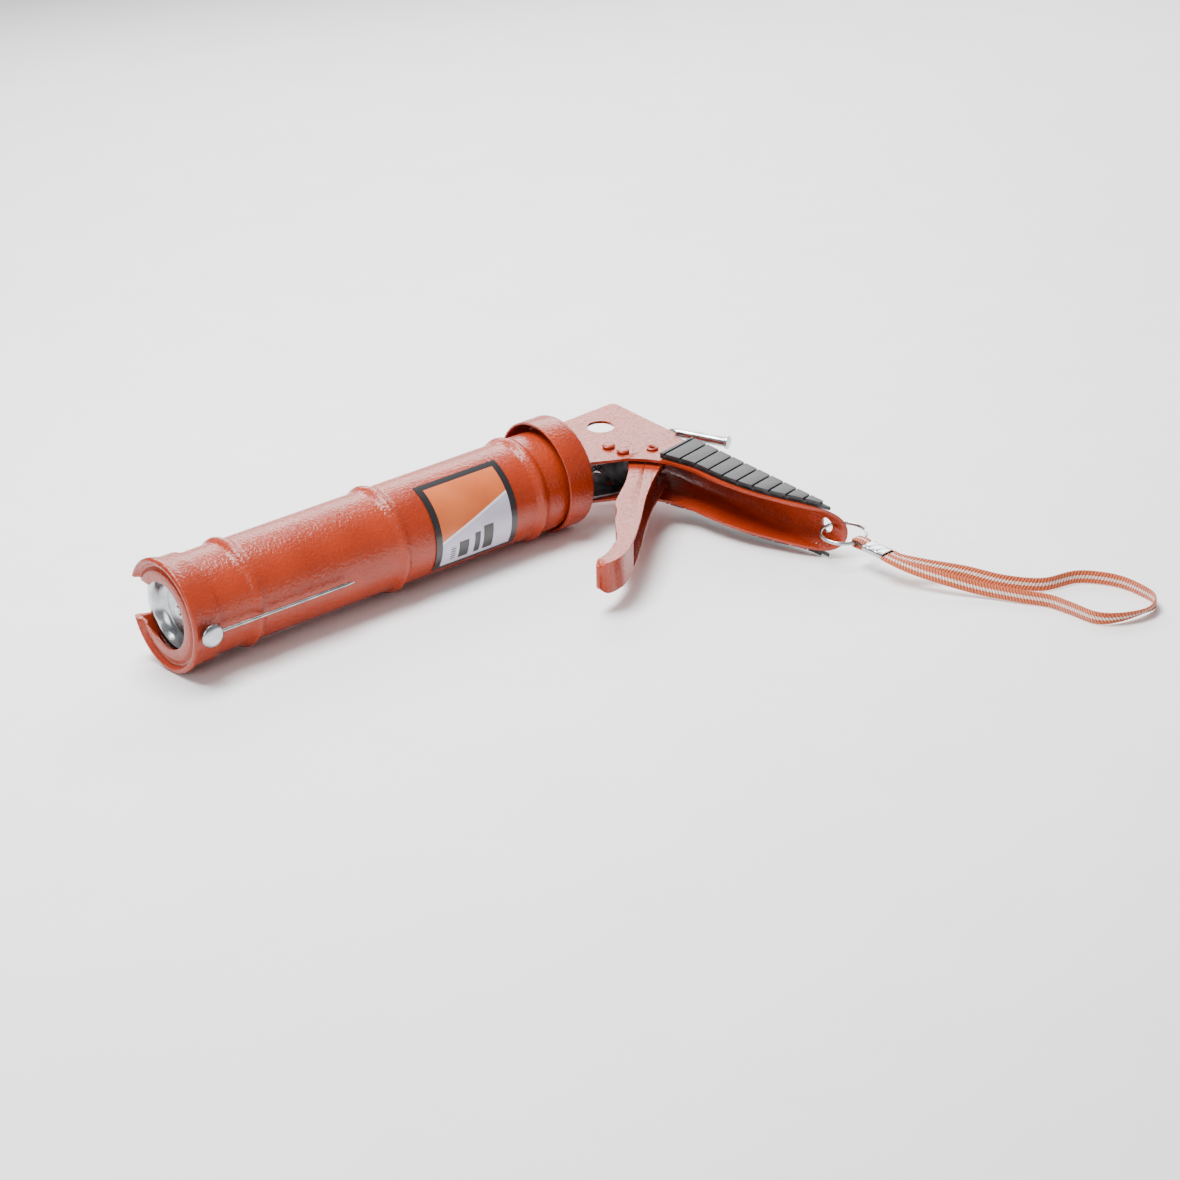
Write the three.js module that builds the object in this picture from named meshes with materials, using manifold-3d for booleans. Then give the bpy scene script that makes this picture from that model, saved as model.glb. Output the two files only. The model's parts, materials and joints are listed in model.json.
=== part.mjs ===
// A tube-barrelled caulking gun, lying on its side as it rests on a table.
// Built in the gun's own axes: +X towards the nozzle, +Y towards the end of the handle, +Z out of its
// left side. The whole gun is then laid down on the plane z = 0. Millimetres throughout.
import * as THREE from 'three';
import { mergeVertices } from 'three/addons/utils/BufferGeometryUtils.js';
import Module from 'manifold-3d';

const wasm = await Module();
wasm.setup();

// ---------------------------------------------------------------- driving dimensions

const GAP = 0.3;

// Barrel: a rolled steel tube that takes a 50 mm cartridge, with three raised beads.
const TUBE_RADIUS = 26.5;
const TUBE_WALL = 0.9;
const TUBE_FRONT = -12;
const TUBE_BACK = -245.6;
const BEAD_STATIONS = [-39.5, -128, -216.6];
const BEAD_RISE = 2.1;
const BEAD_HALF_WIDTH = 5.2;

// Front cap: a pressed cup over the tube's mouth, with a rolled rim and an open nozzle slot.
const RIM_RADIUS = 29.8;
const NOZZLE_HOLE_RADIUS = 17.4;
const SLOT_OUTLINE = [[-7, -15.6], [0, 0], [0, 12], [-24, 12], [-35, 14], [-35, -8.6]];
const CAP_BACK = -16;
const SKIRT_RADIUS = 28.1;
const SKIRT_INNER_RADIUS = 26.95;

// Rear collar: a loose cup that holds the tube's rear end, set higher than the rod's axis.
const COLLAR_RADIUS = 30.2;
const COLLAR_WALL = 1.2;
const COLLAR_FRONT = -232;
const COLLAR_BACK = -249;
const COLLAR_LIFT = 2.2;

// Frame: one folded sheet, two side plates joined by the web down the back of the handle.
const PLATE_FACE = 12;
const SHEET = 1.5;
const PLATE_INNER = PLATE_FACE - SHEET;
const FRAME_FRONT = COLLAR_BACK - GAP;
const HANDLE_BACK = -315;
const HANDLE_CORNER = -306;
const HANDLE_TIP = 154;
const LANYARD_HOLE_Y = 138;

// Rod, piston and the plates that grip the rod.
const ROD_RADIUS = 2.75;
const ROD_BEND_X = -322;
const PISTON_RADIUS = 24.6;
const DRIVE_PLATE_FRONT = -276;
const DRIVE_PLATE_BACK = -279;
const PLATE_HALF_WIDTH = 8.4;
const CATCH_PIVOT = new THREE.Vector2(-303.2, 17);
const TRIGGER_PIVOT = new THREE.Vector2(-288.3, 29.1);
const TRIGGER_FACE = 8.7;
const PIN_CLEARANCE = 0.3;

// Puncture wire, folded back along the barrel on the handle's side.
const WIRE_RADIUS = 0.95;
const WIRE_HEIGHT = 31.2;
const WIRE_PIVOT_X = -8;
const WIRE_LENGTH = 84;

// Grip pads.
const PAD_BASE = PLATE_FACE + GAP;
const PAD_FACE = 15.5;
const PAD_END = 145;
const PAD_END_WIDTH = 1.3;
const RIGHT_PAD_SET_BACK = 3.8;

const ROUND = 44;
const SMALL_ROUND = 20;

// ---------------------------------------------------------------- finishes

function finish(color, roughness, metalness) {
  return new THREE.MeshStandardMaterial({ color, roughness, metalness });
}

const PAINT = finish(0xb8431f, 0.45, 0.1);
const ZINC = finish(0xb9bdc0, 0.35, 0.9);
const STEEL = finish(0x8b8f92, 0.4, 0.9);
const RUBBER = finish(0x2a2b2d, 0.75, 0.0);
const WEBBING = finish(0xd4683c, 0.85, 0.0);
const PAPER = finish(0xe3ddec, 0.4, 0.0);

// ---------------------------------------------------------------- solids

function facingOut(geometry) {
  const p = geometry.attributes.position;
  const index = geometry.index.array;
  const [a, b, c] = [new THREE.Vector3(), new THREE.Vector3(), new THREE.Vector3()];
  let volume = 0;
  for (let i = 0; i < index.length; i += 3) {
    a.fromBufferAttribute(p, index[i]);
    b.fromBufferAttribute(p, index[i + 1]);
    c.fromBufferAttribute(p, index[i + 2]);
    volume += a.dot(b.cross(c));
  }
  if (volume < 0) {
    for (let i = 0; i < index.length; i += 3) {
      [index[i + 1], index[i + 2]] = [index[i + 2], index[i + 1]];
    }
  }
  return geometry;
}

// One closed mesh with shared corners, its faces pointing out.
function welded(geometry) {
  const bare = geometry.clone();
  bare.deleteAttribute('normal');
  bare.deleteAttribute('uv');
  return facingOut(mergeVertices(bare, 1e-4));
}

function toSolid(geometry) {
  const mesh = welded(geometry);
  return new wasm.Manifold(new wasm.Mesh({
    numProp: 3,
    vertProperties: new Float32Array(mesh.attributes.position.array),
    triVerts: new Uint32Array(mesh.index.array),
  }));
}

function toGeometry(solid) {
  const mesh = solid.getMesh();
  const geometry = new THREE.BufferGeometry();
  geometry.setAttribute('position', new THREE.BufferAttribute(mesh.vertProperties, 3));
  geometry.setIndex(new THREE.BufferAttribute(mesh.triVerts, 1));
  return geometry;
}

function cut(geometry, ...tools) {
  return toGeometry(tools.reduce((solid, tool) => solid.subtract(toSolid(tool)), toSolid(geometry)));
}

function join(geometry, ...others) {
  return toGeometry(others.reduce((solid, other) => solid.add(toSolid(other)), toSolid(geometry)));
}

function common(geometry, ...others) {
  return toGeometry(others.reduce((solid, other) => solid.intersect(toSolid(other)), toSolid(geometry)));
}

// A box between two corners.
function block(low, high) {
  const size = high.map((value, i) => value - low[i]);
  const middle = high.map((value, i) => (value + low[i]) / 2);
  return new THREE.BoxGeometry(...size).translate(...middle);
}

// A round bar along Z, X or Y between two stations, centred on the two other coordinates.
function barZ(radius, x, y, low, high, sides = SMALL_ROUND) {
  return new THREE.CylinderGeometry(radius, radius, high - low, sides)
    .rotateX(Math.PI / 2)
    .translate(x, y, (low + high) / 2);
}

function barX(radius, y, z, low, high, sides = SMALL_ROUND) {
  return new THREE.CylinderGeometry(radius, radius, high - low, sides)
    .rotateZ(Math.PI / 2)
    .translate((low + high) / 2, y, z);
}

// A closed profile of [along, radius] pairs turned about an axis through the origin.
function turned(profile, sides) {
  const points = profile.map(([along, radius]) => new THREE.Vector2(radius, along));
  return new THREE.LatheGeometry([...points, points[0]], sides);
}

function turnedX(profile, sides = ROUND) {
  return turned(profile, sides).rotateZ(-Math.PI / 2);
}

function turnedZ(profile, sides = SMALL_ROUND) {
  return turned(profile, sides).rotateX(Math.PI / 2);
}

// A flat outline of [x, y] pairs with thickness from low to high in Z.
function sheetZ(outline, low, high) {
  const shape = new THREE.Shape(outline.map(([x, y]) => new THREE.Vector2(x, y)));
  return new THREE.ExtrudeGeometry(shape, { depth: high - low, bevelEnabled: false }).translate(0, 0, low);
}

// A flat outline of [y, z] pairs with thickness from low to high in X.
function sheetX(outline, low, high) {
  return sheetZ(outline, low, high).applyMatrix4(new THREE.Matrix4().makeBasis(
    new THREE.Vector3(0, 1, 0), new THREE.Vector3(0, 0, 1), new THREE.Vector3(1, 0, 0)));
}

// An outline of [x, z] pairs with thickness from low to high in Y.
function sheetY(outline, low, high) {
  return sheetZ(outline, -high, -low).rotateX(Math.PI / 2);
}

function smooth(points, count) {
  return new THREE.SplineCurve(points.map(([x, y]) => new THREE.Vector2(x, y)))
    .getPoints(count)
    .map((p) => [p.x, p.y]);
}

function arc(x, y, radius, fromDegrees, toDegrees, count, radiusY = radius) {
  return Array.from({ length: count + 1 }, (_, i) => {
    const angle = THREE.MathUtils.degToRad(THREE.MathUtils.lerp(fromDegrees, toDegrees, i / count));
    return [x + radius * Math.cos(angle), y + radiusY * Math.sin(angle)];
  });
}

// A round wire wound as a spring about the X axis.
function coilX(meanRadius, wireRadius, low, high, turns) {
  const section = new THREE.Shape().absarc(0, 0, wireRadius, 0, 2 * Math.PI);
  const steps = turns * 12;
  const points = Array.from({ length: steps + 1 }, (_, i) => {
    const angle = (i / steps) * turns * 2 * Math.PI;
    const along = THREE.MathUtils.lerp(low + wireRadius, high - wireRadius, i / steps);
    return new THREE.Vector3(along, meanRadius * Math.cos(angle), meanRadius * Math.sin(angle));
  });
  const path = new THREE.CatmullRomCurve3(points);
  return new THREE.ExtrudeGeometry(section, { steps, curveSegments: 3, extrudePath: path });
}

// ---------------------------------------------------------------- the gun's assembly

const gun = new THREE.Group();

function part(name, geometry, material, parent = gun) {
  const mesh = new THREE.Mesh(welded(geometry), material);
  mesh.name = name;
  parent.add(mesh);
  return mesh;
}

// ---------------------------------------------------------------- barrel

// The tube's outer line from back to front, swelling smoothly over each bead.
function tubeLine() {
  const line = [[TUBE_BACK, TUBE_RADIUS]];
  for (const station of [...BEAD_STATIONS].reverse()) {
    for (let i = -3; i <= 3; i += 1) {
      const swell = BEAD_RISE * (0.5 + 0.5 * Math.cos((Math.PI * i) / 3));
      line.push([station + (BEAD_HALF_WIDTH * i) / 3, TUBE_RADIUS + swell]);
    }
  }
  line.push([TUBE_FRONT, TUBE_RADIUS]);
  return line;
}

function barrelTube() {
  const outside = tubeLine();
  const inside = outside.map(([along, radius]) => [along, radius - TUBE_WALL]).reverse();
  return turnedX([...outside, ...inside]);
}

function frontCap() {
  const crest = arc(-1.5, RIM_RADIUS - 1.5, 1.5, 90, -40, 4);
  const outside = [[CAP_BACK, SKIRT_RADIUS], [-10, SKIRT_RADIUS], [-6, 28.7], [-3.6, 29.5], ...crest];
  const face = [[-2.2, 25.6], [-2.4, 24.6], [-1.3, 23.2], [-1.2, NOZZLE_HOLE_RADIUS]];
  const back = [[-2.4, NOZZLE_HOLE_RADIUS], [-2.4, 22.8], [-3.7, 24.2], [-3.4, 26.2]];
  const inside = [[-3.4, 27.8], [-6, 27.5], [-10, SKIRT_INNER_RADIUS], [CAP_BACK, SKIRT_INNER_RADIUS]];
  const cup = turnedX([...outside, ...face, ...back, ...inside]);
  const slotBack = TUBE_FRONT + 0.5;
  const slot = sheetX(SLOT_OUTLINE, slotBack, 2);
  const rivetHole = new THREE.CylinderGeometry(2.3, 2.3, 8, SMALL_ROUND).translate(WIRE_PIVOT_X, 28, 0);
  return cut(cup, slot, rivetHole);
}

function labelSheet() {
  const inner = TUBE_RADIUS + GAP;
  const outer = inner + 0.25;
  const outline = [...arc(0, 0, outer, -38, 73, 16), ...arc(0, 0, inner, 73, -38, 16)];
  return sheetX(outline, -199, -147);
}

part('barrel_tube', barrelTube(), PAINT);
part('front_cap', frontCap(), PAINT);
part('label', labelSheet(), PAPER);

// ---------------------------------------------------------------- puncture wire

// A profile of [height above the axis, radius] pairs, turned about the wire's pivot.
function onWirePivot(profile) {
  return turned(profile, SMALL_ROUND).translate(WIRE_PIVOT_X, 0, 0);
}

function punctureWire() {
  const low = WIRE_HEIGHT - WIRE_RADIUS;
  const high = WIRE_HEIGHT + WIRE_RADIUS;
  const eye = onWirePivot([[low, 2.3], [high, 2.3], [high, 4.2], [low, 4.2]]);
  const shaft = barX(WIRE_RADIUS, WIRE_HEIGHT, 0, WIRE_PIVOT_X - WIRE_LENGTH + 3, WIRE_PIVOT_X - 3.2, 12);
  const tip = new THREE.CylinderGeometry(WIRE_RADIUS, 0.3, 4, 12)
    .rotateZ(-Math.PI / 2)
    .translate(WIRE_PIVOT_X - WIRE_LENGTH + 1.2, WIRE_HEIGHT, 0);
  return join(eye, shaft, tip);
}

function wireRivet() {
  const shoulder = WIRE_HEIGHT + WIRE_RADIUS + GAP;
  const dome = arc(0, 0, 1, 0, 90, 5).map(([x, y]) => [shoulder + 0.9 + 1.6 * y, 6 * x]);
  return onWirePivot([[25.6, 0], [25.6, 3.1], [26.4, 3.1], [26.4, 2], [shoulder, 2], [shoulder, 6], ...dome]);
}

part('puncture_wire', punctureWire(), ZINC);
part('wire_rivet', wireRivet(), ZINC);
part('wire_washer', onWirePivot([[29.35, 2.3], [29.95, 2.3], [29.95, 3.4], [29.35, 3.4]]), ZINC);

// ---------------------------------------------------------------- collar, bracket and bush

const BUSH_BORE = ROD_RADIUS + PIN_CLEARANCE;
const BUSH_SPIGOT = 7.6;

function rearCollar() {
  const inner = COLLAR_RADIUS - COLLAR_WALL;
  const outside = [[COLLAR_FRONT, COLLAR_RADIUS], ...arc(COLLAR_BACK + 3, COLLAR_RADIUS - 3, 3, 90, 180, 4)];
  const floor = COLLAR_BACK + COLLAR_WALL;
  const inside = [[COLLAR_BACK, 0], [floor, 0], [floor, inner - 1.8], [floor + 1.8, inner], [COLLAR_FRONT, inner]];
  const cup = turnedX([...outside, ...inside]).translate(0, 0, COLLAR_LIFT);
  return cut(cup, barX(BUSH_SPIGOT + GAP, 0, 0, COLLAR_BACK - 2, COLLAR_BACK + 4));
}

const BRACKET_BACK = -279;
const BRACKET_ARM = [9.0, 10.2];
const BRACKET_RIVETS = [[-272, 12.4], [-273.7, 22.2]];

function mountBracket() {
  const front = COLLAR_BACK - GAP;
  const arm = [[front, -20], [-262, -16], [BRACKET_BACK, 2], [BRACKET_BACK, 25.5], [-270, 24.5], [front, 18]];
  const [inner, outer] = BRACKET_ARM;
  const base = block([front - COLLAR_WALL, -20, -outer], [front, 18, outer]);
  const holes = BRACKET_RIVETS.map(([x, y]) => barZ(2.3, x, y, -20, 20));
  const bent = join(base, sheetZ(arm, inner, outer), sheetZ(arm, -outer, -inner));
  return cut(bent, barX(BUSH_SPIGOT + GAP, 0, 0, front - 4, front + 2), ...holes);
}

function guideBush() {
  const flangeFront = COLLAR_BACK - COLLAR_WALL - 2 * GAP;
  const flangeBack = flangeFront - 7;
  const profile = [[flangeBack, BUSH_BORE], [flangeBack, 14.2], [flangeBack + 0.8, 15], [flangeFront, 15],
    [flangeFront, BUSH_SPIGOT], [-244.5, BUSH_SPIGOT], [-244.5, BUSH_BORE]];
  const flats = block([flangeBack - 1, -20, -PLATE_HALF_WIDTH], [-240, 20, PLATE_HALF_WIDTH]);
  return common(turnedX(profile, 32), flats);
}

part('rear_collar', rearCollar(), PAINT);
part('mount_bracket', mountBracket(), STEEL);
part('guide_bush', guideBush(), ZINC);

// ---------------------------------------------------------------- frame

// The finger side of the handle, from the collar down to the handle's end.
const FRAME_THROAT = [[-253, 20.5], [-262.6, 25.5], [-272, 30.5], [-279.5, 39], [-285, 50], [-287.5, 62]];
const HANDLE_FRONT = [[-287.5, 62], [-288.5, 80], [-291, 97], [-296, 114], [-302, 131], [-308.5, 143],
  [-314, 151]];
const WEB_TOP = 8;
const HEAD_STEP = 22;
const HEAD_BACK = -310.5;
const SIGHT_HOLE = { x: -285.3, y: -10.7, radius: 7.4 };

function headPlate(low, high) {
  const corner = arc(HEAD_BACK + 3, -27.2, 3, -90, -180, 4);
  const outline = [[FRAME_FRONT, -27.4], ...corner, [HEAD_BACK, HEAD_STEP], [HANDLE_CORNER, HEAD_STEP + 4],
    [HANDLE_CORNER, 62], ...smooth(FRAME_THROAT, 14).reverse(), [FRAME_FRONT, 19.5]];
  return sheetZ(outline, low, high);
}

// The folded section of the handle: two straight sides and a rounded back.
function channelSection(inset) {
  const half = PLATE_FACE - inset;
  const depth = HANDLE_CORNER - HANDLE_BACK - inset;
  return [[-260, half], ...arc(HANDLE_CORNER, 0, depth, 90, 270, 14, half), [-260, -half]];
}

function handleChannel() {
  const outer = sheetY(channelSection(0), WEB_TOP, HANDLE_TIP + 4);
  const inner = sheetY(channelSection(SHEET), WEB_TOP - 10, HANDLE_TIP + 20);
  const side = [...smooth([...FRAME_THROAT.slice(2), ...HANDLE_FRONT.slice(1)], 40),
    [HANDLE_BACK - 4, HANDLE_TIP + 2], [HANDLE_BACK - 4, WEB_TOP - 4], [-290, WEB_TOP - 4]];
  const back = [[WEB_TOP - 4, -20], ...arc(HANDLE_TIP - PLATE_FACE, 0, PLATE_FACE, -90, 90, 16), [WEB_TOP - 4, 20]];
  return common(cut(outer, inner), sheetZ(side, -20, 20), sheetX(back, -340, -240));
}

function frame() {
  const body = join(handleChannel(), headPlate(PLATE_INNER, PLATE_FACE), headPlate(-PLATE_FACE, -PLATE_INNER));
  return cut(
    body,
    barZ(SIGHT_HOLE.radius, SIGHT_HOLE.x, SIGHT_HOLE.y, -20, 20, 28),
    ...BRACKET_RIVETS.map(([x, y]) => barZ(2.3, x, y, -20, 20)),
    barZ(2.5 + PIN_CLEARANCE, TRIGGER_PIVOT.x, TRIGGER_PIVOT.y, -20, 20),
    barX(4, LANYARD_HOLE_Y, 0, -330, -300),
  );
}

part('frame', frame(), PAINT);

function bracketRivet([x, y], side) {
  const foot = BRACKET_ARM[0] + 0.05;
  const head = PLATE_FACE + GAP;
  const profile = [[foot, 0], [foot, 2], [head, 2], [head, 3.45], [head + 1.2, 3.45], [head + 1.7, 2.9],
    [head + 1.7, 0]];
  return turnedZ(profile).rotateX(side > 0 ? 0 : Math.PI).translate(x, y, 0);
}

for (const [index, place] of BRACKET_RIVETS.entries()) {
  part(`bracket_rivet_left_${index + 1}`, bracketRivet(place, 1), PAINT);
  part(`bracket_rivet_right_${index + 1}`, bracketRivet(place, -1), PAINT);
}

// A plate across the inside of the frame that carries the rod and backs the catch's spring.
const BULKHEAD = { front: -289.4, back: -291, top: -6, bottom: 8 };

function rodBulkhead() {
  const half = PLATE_INNER - GAP;
  const plate = block([BULKHEAD.back, BULKHEAD.top, -half], [BULKHEAD.front, BULKHEAD.bottom, half]);
  return cut(plate, barX(ROD_RADIUS + 0.5, 0, 0, -295, -285));
}

part('rod_bulkhead', rodBulkhead(), STEEL);

// ---------------------------------------------------------------- grip pads

const PAD_FRONT = [[-283.5, 41], [-286.7, 52], [-289.2, 62], [-290.2, 80], [-292.6, 97], [-297.4, 114],
  [-303, 128], [-306.3, 138], [-308, PAD_END]];
const PAD_BACK = -309.3;
const PAD_TOP = 37;
const GROOVE_COUNT = 9;
const GROOVE_PITCH = 10.1;
const FIRST_GROOVE = 48.8;

function gripPad(setBack) {
  const front = PAD_FRONT.map(([x, y]) => [Math.max(x - setBack, PAD_BACK + PAD_END_WIDTH), y]);
  const outline = [...smooth(front, 24), [PAD_BACK, PAD_END], [PAD_BACK, PAD_TOP]];
  const pad = sheetZ(outline, PAD_BASE, PAD_FACE);
  const grooves = Array.from({ length: GROOVE_COUNT }, (_, i) => {
    const start = FIRST_GROOVE + i * GROOVE_PITCH;
    return new THREE.BoxGeometry(40, 1.3, 2.2)
      .rotateZ(0.21 - 0.012 * i)
      .translate(-298, start - 2.5, PAD_FACE);
  });
  return cut(pad, ...grooves);
}

part('grip_pad_left', gripPad(0), RUBBER);
part('grip_pad_right', gripPad(RIGHT_PAD_SET_BACK).scale(1, 1, -1), RUBBER);

// ---------------------------------------------------------------- rod and piston

function pushRod() {
  const stud = barX(2.2, 0, 0, -16, -9.1, 16);
  const straight = barX(ROD_RADIUS, 0, 0, ROD_BEND_X, -15.2, 16);
  const legEnd = new THREE.Vector3(-340.5, 30, 0);
  const bendStart = new THREE.Vector3(ROD_BEND_X + 0.5, 0, 0);
  const bendEnd = new THREE.Vector3(-329.2, 5.5, 0);
  const corner = new THREE.Vector3(-327.4, 0.4, 0);
  const section = new THREE.Shape().absarc(0, 0, ROD_RADIUS, 0, 2 * Math.PI);
  const sweep = (path, steps) => new THREE.ExtrudeGeometry(section, { steps, curveSegments: 8, extrudePath: path });
  const bend = sweep(new THREE.QuadraticBezierCurve3(bendStart, corner, bendEnd), 7);
  const along = legEnd.clone().sub(bendEnd).normalize();
  const legStart = bendEnd.clone().addScaledVector(along, -0.4);
  const leg = sweep(new THREE.LineCurve3(legStart, legEnd), 1);
  const head = new THREE.CylinderGeometry(3.6, 3.6, 1.6, SMALL_ROUND)
    .applyQuaternion(new THREE.Quaternion().setFromUnitVectors(new THREE.Vector3(0, 1, 0), along))
    .translate(legEnd.x, legEnd.y, 0);
  return join(straight, stud, bend, leg, head);
}

function pistonDisc() {
  const front = [[-11.9, 2.55], [-11.9, 14.2], [-9.4, 17], [-5.8, 18.6], [-5.7, 19.4], [-6.3, 23.2],
    [-8, PISTON_RADIUS], [-15, PISTON_RADIUS]];
  const back = [[-15, 23.4], [-9.2, 23.4], [-7.7, 22.4], [-7.1, 19.6], [-10.6, 17.6], [-13.1, 14.9],
    [-13.1, 2.55]];
  return turnedX([...front, ...back]);
}

function pistonNut() {
  const across = 4.6;
  const hex = arc(0, 0, across, 0, 300, 5);
  return cut(sheetX(hex, -11.6, -9.6), barX(2.5, 0, 0, -14, -4));
}

part('push_rod', pushRod(), ZINC);
part('piston_disc', pistonDisc(), ZINC);
part('piston_nut', pistonNut(), ZINC);
part('piston_washer', turnedX([[-14.9, 2.55], [-14.9, 7.5], [-13.45, 7.5], [-13.45, 2.55]], 24), ZINC);

// ---------------------------------------------------------------- drive and catch

function drivePlate() {
  const top = -10;
  const bottom = 22;
  const half = PLATE_HALF_WIDTH;
  const outline = [[top, -4], [top + 4, -half], [bottom, -half], [bottom, half], [top + 4, half], [top, 4]];
  return cut(
    sheetX(outline, DRIVE_PLATE_BACK, DRIVE_PLATE_FRONT),
    barX(ROD_RADIUS + 0.45, 0, 0, -290, -270),
  );
}

function catchPlate() {
  const back = -304.5;
  const front = -302;
  const plate = block([back, -9, -8], [front, CATCH_PIVOT.y, 8]);
  const tab = block([-320, -11.4, -5], [front, -9, 5]);
  const eye = barZ(3.6, CATCH_PIVOT.x, CATCH_PIVOT.y, -8, 8);
  const pinHole = barZ(1.6 + PIN_CLEARANCE, CATCH_PIVOT.x, CATCH_PIVOT.y, -20, 20);
  return cut(join(plate, tab, eye), pinHole, barX(3.6, 0, 0, -310, -296));
}

const CATCH_PIN_HALF = PLATE_INNER - GAP;
const BUSH_FACE = COLLAR_BACK - COLLAR_WALL - 2 * GAP - 7;
part('drive_spring', coilX(5.2, 0.7, DRIVE_PLATE_FRONT + GAP, BUSH_FACE - GAP, 5), STEEL);
part('drive_plate', drivePlate(), STEEL);
part('catch_spring', coilX(4.4, 0.6, -302 + GAP, BULKHEAD.back - GAP, 4), STEEL);
part('catch_plate', catchPlate(), ZINC);
part('catch_pin', barZ(1.6, CATCH_PIVOT.x, CATCH_PIVOT.y, -CATCH_PIN_HALF, CATCH_PIN_HALF), PAINT);

// ---------------------------------------------------------------- trigger

const TRIGGER_FRONT = [[-272.5, 28], [-266, 36], [-256, 45.5], [-245, 54], [-236.5, 61], [-231.5, 68.5],
  [-224.5, 75.5], [-217.4, 84.7], [-210.8, 93.6], [-206.2, 96.2], [-201.6, 99.6], [-194, 103.4]];
const TIP_X = -186.6;
const TIP_LENGTH = 5.9;
const TRIGGER_TIP = arc(TIP_X - TIP_LENGTH, 107.1, TIP_LENGTH, -75, 95, 9, 3.75);
const TIP_ROUND = 5.5;
const TIP_SOLID_FROM = -215;
const TRIGGER_REAR = [[-195, 110.8], [-203, 108.6], [-213, 102.2], [-224, 93.2], [-236.6, 81.8], [-249, 69.6],
  [-261, 59], [-273, 49.5], [-286, 40.5]];

// The front edge moved inwards by one sheet thickness.
function insideOf(line, thickness) {
  return line.slice(1, -1).map(([x, y], i) => {
    const [beforeX, beforeY] = line[i];
    const [afterX, afterY] = line[i + 2];
    const length = Math.hypot(afterX - beforeX, afterY - beforeY);
    const normalX = -(afterY - beforeY) / length;
    const normalY = (afterX - beforeX) / length;
    return [x + normalX * thickness, y + normalY * thickness];
  });
}

// A flat stadium-ended plan that rounds the tip's corners.
function tipPlan() {
  const start = TIP_X - TIP_ROUND;
  const side = TRIGGER_FACE - TIP_ROUND;
  const corners = [...arc(start, -side, TIP_ROUND, -90, 0, 5), ...arc(start, side, TIP_ROUND, 0, 90, 5)];
  return sheetY([[-320, -TRIGGER_FACE], ...corners, [-320, TRIGGER_FACE]], 0, 130);
}

function trigger() {
  const frontLine = smooth(TRIGGER_FRONT, 26);
  const nose = arc(-282, 13.5, 2.5, -150, 30, 6);
  const boss = arc(TRIGGER_PIVOT.x, TRIGGER_PIVOT.y, 8.6, 95, 235, 8);
  const outline = [...frontLine, ...TRIGGER_TIP, ...smooth(TRIGGER_REAR, 20), ...boss, ...nose,
    [-279.7, 22.5]];
  const web = insideOf(frontLine.filter(([, y]) => y > 36), SHEET).filter(([x]) => x < TIP_SOLID_FROM);
  const cavity = [[-250, 36], ...web, [TIP_SOLID_FROM, 130], [-320, 130], [-320, 0], [-250, 0]];
  const inner = TRIGGER_FACE - SHEET;
  return cut(
    common(sheetZ(outline, -TRIGGER_FACE, TRIGGER_FACE), tipPlan()),
    sheetZ(cavity, -inner, inner),
    barZ(2.5 + PIN_CLEARANCE, TRIGGER_PIVOT.x, TRIGGER_PIVOT.y, -20, 20),
  );
}

function triggerPivot() {
  const head = PLATE_FACE + GAP;
  const end = head + 1;
  return turnedZ([[-end, 1.3], [-end, 3.2], [-head, 3.2], [-head, 2.5], [head, 2.5], [head, 3.2], [end, 3.2],
    [end, 1.3]]).translate(TRIGGER_PIVOT.x, TRIGGER_PIVOT.y, 0);
}

part('trigger', trigger(), PAINT);
part('trigger_pivot', triggerPivot(), PAINT);

// ---------------------------------------------------------------- split ring

const RING_CENTRE = new THREE.Vector2(-313, 150.7);
const RING_INNER_RADIUS = 10.8;
const RING_OUTER_RADIUS = 12.4;

// Two turns of wire pressed together, threaded through the hole at the handle's end.
function splitRing() {
  const high = 1.2;
  const waist = 0.3;
  return turnedZ([[-high, RING_INNER_RADIUS + waist], [-high, RING_OUTER_RADIUS - waist],
    [-high + waist, RING_OUTER_RADIUS], [high - waist, RING_OUTER_RADIUS], [high, RING_OUTER_RADIUS - waist],
    [high, RING_INNER_RADIUS + waist], [high - waist, RING_INNER_RADIUS], [-high + waist, RING_INNER_RADIUS]],
  32).translate(RING_CENTRE.x, RING_CENTRE.y, 0);
}

// ---------------------------------------------------------------- laying the gun down

// The plane that the rim, the rear bead and the lower grip pad's end all touch.
function restingUp() {
  const beadRadius = TUBE_RADIUS + BEAD_RISE;
  const rimX = -1.5;
  const beadX = BEAD_STATIONS[2];
  const slope = (RIM_RADIUS - beadRadius) / (rimX - beadX);
  const height = RIM_RADIUS + slope * (PAD_BACK + PAD_END_WIDTH - rimX);
  const roll = Math.asin(height / Math.hypot(PAD_END, PAD_FACE)) - Math.atan2(PAD_FACE, PAD_END);
  return new THREE.Vector3(slope, -Math.sin(roll), Math.cos(roll)).normalize();
}

function layDown() {
  const up = restingUp();
  const along = new THREE.Vector3(1, 0, 0).projectOnPlane(up).normalize();
  const across = up.clone().cross(along);
  gun.quaternion.setFromRotationMatrix(new THREE.Matrix4().makeBasis(along, across, up).invert());
  gun.updateMatrixWorld(true);
  const box = new THREE.Box3().setFromObject(gun, true);
  const centre = box.getCenter(new THREE.Vector3());
  gun.position.set(-centre.x, -centre.y, -box.min.z);
}

part('split_ring', splitRing(), ZINC);
layDown();

// ---------------------------------------------------------------- wrist strap
// The strap lies on the table, so it is placed in the table's axes, after the gun is laid down.

const BAND_WIDTH = 6.2;
const BAND_THICKNESS = 2.2;
const FERRULE = { x: -140.6, y: 103.3, z: 13.3, width: 9.2, length: 13.8, thickness: 4.2, fall: 0.06 };
const TAIL = { length: 9.8, height: 5.6, wall: 1, radius: 2.2, rise: 0.3 };

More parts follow.
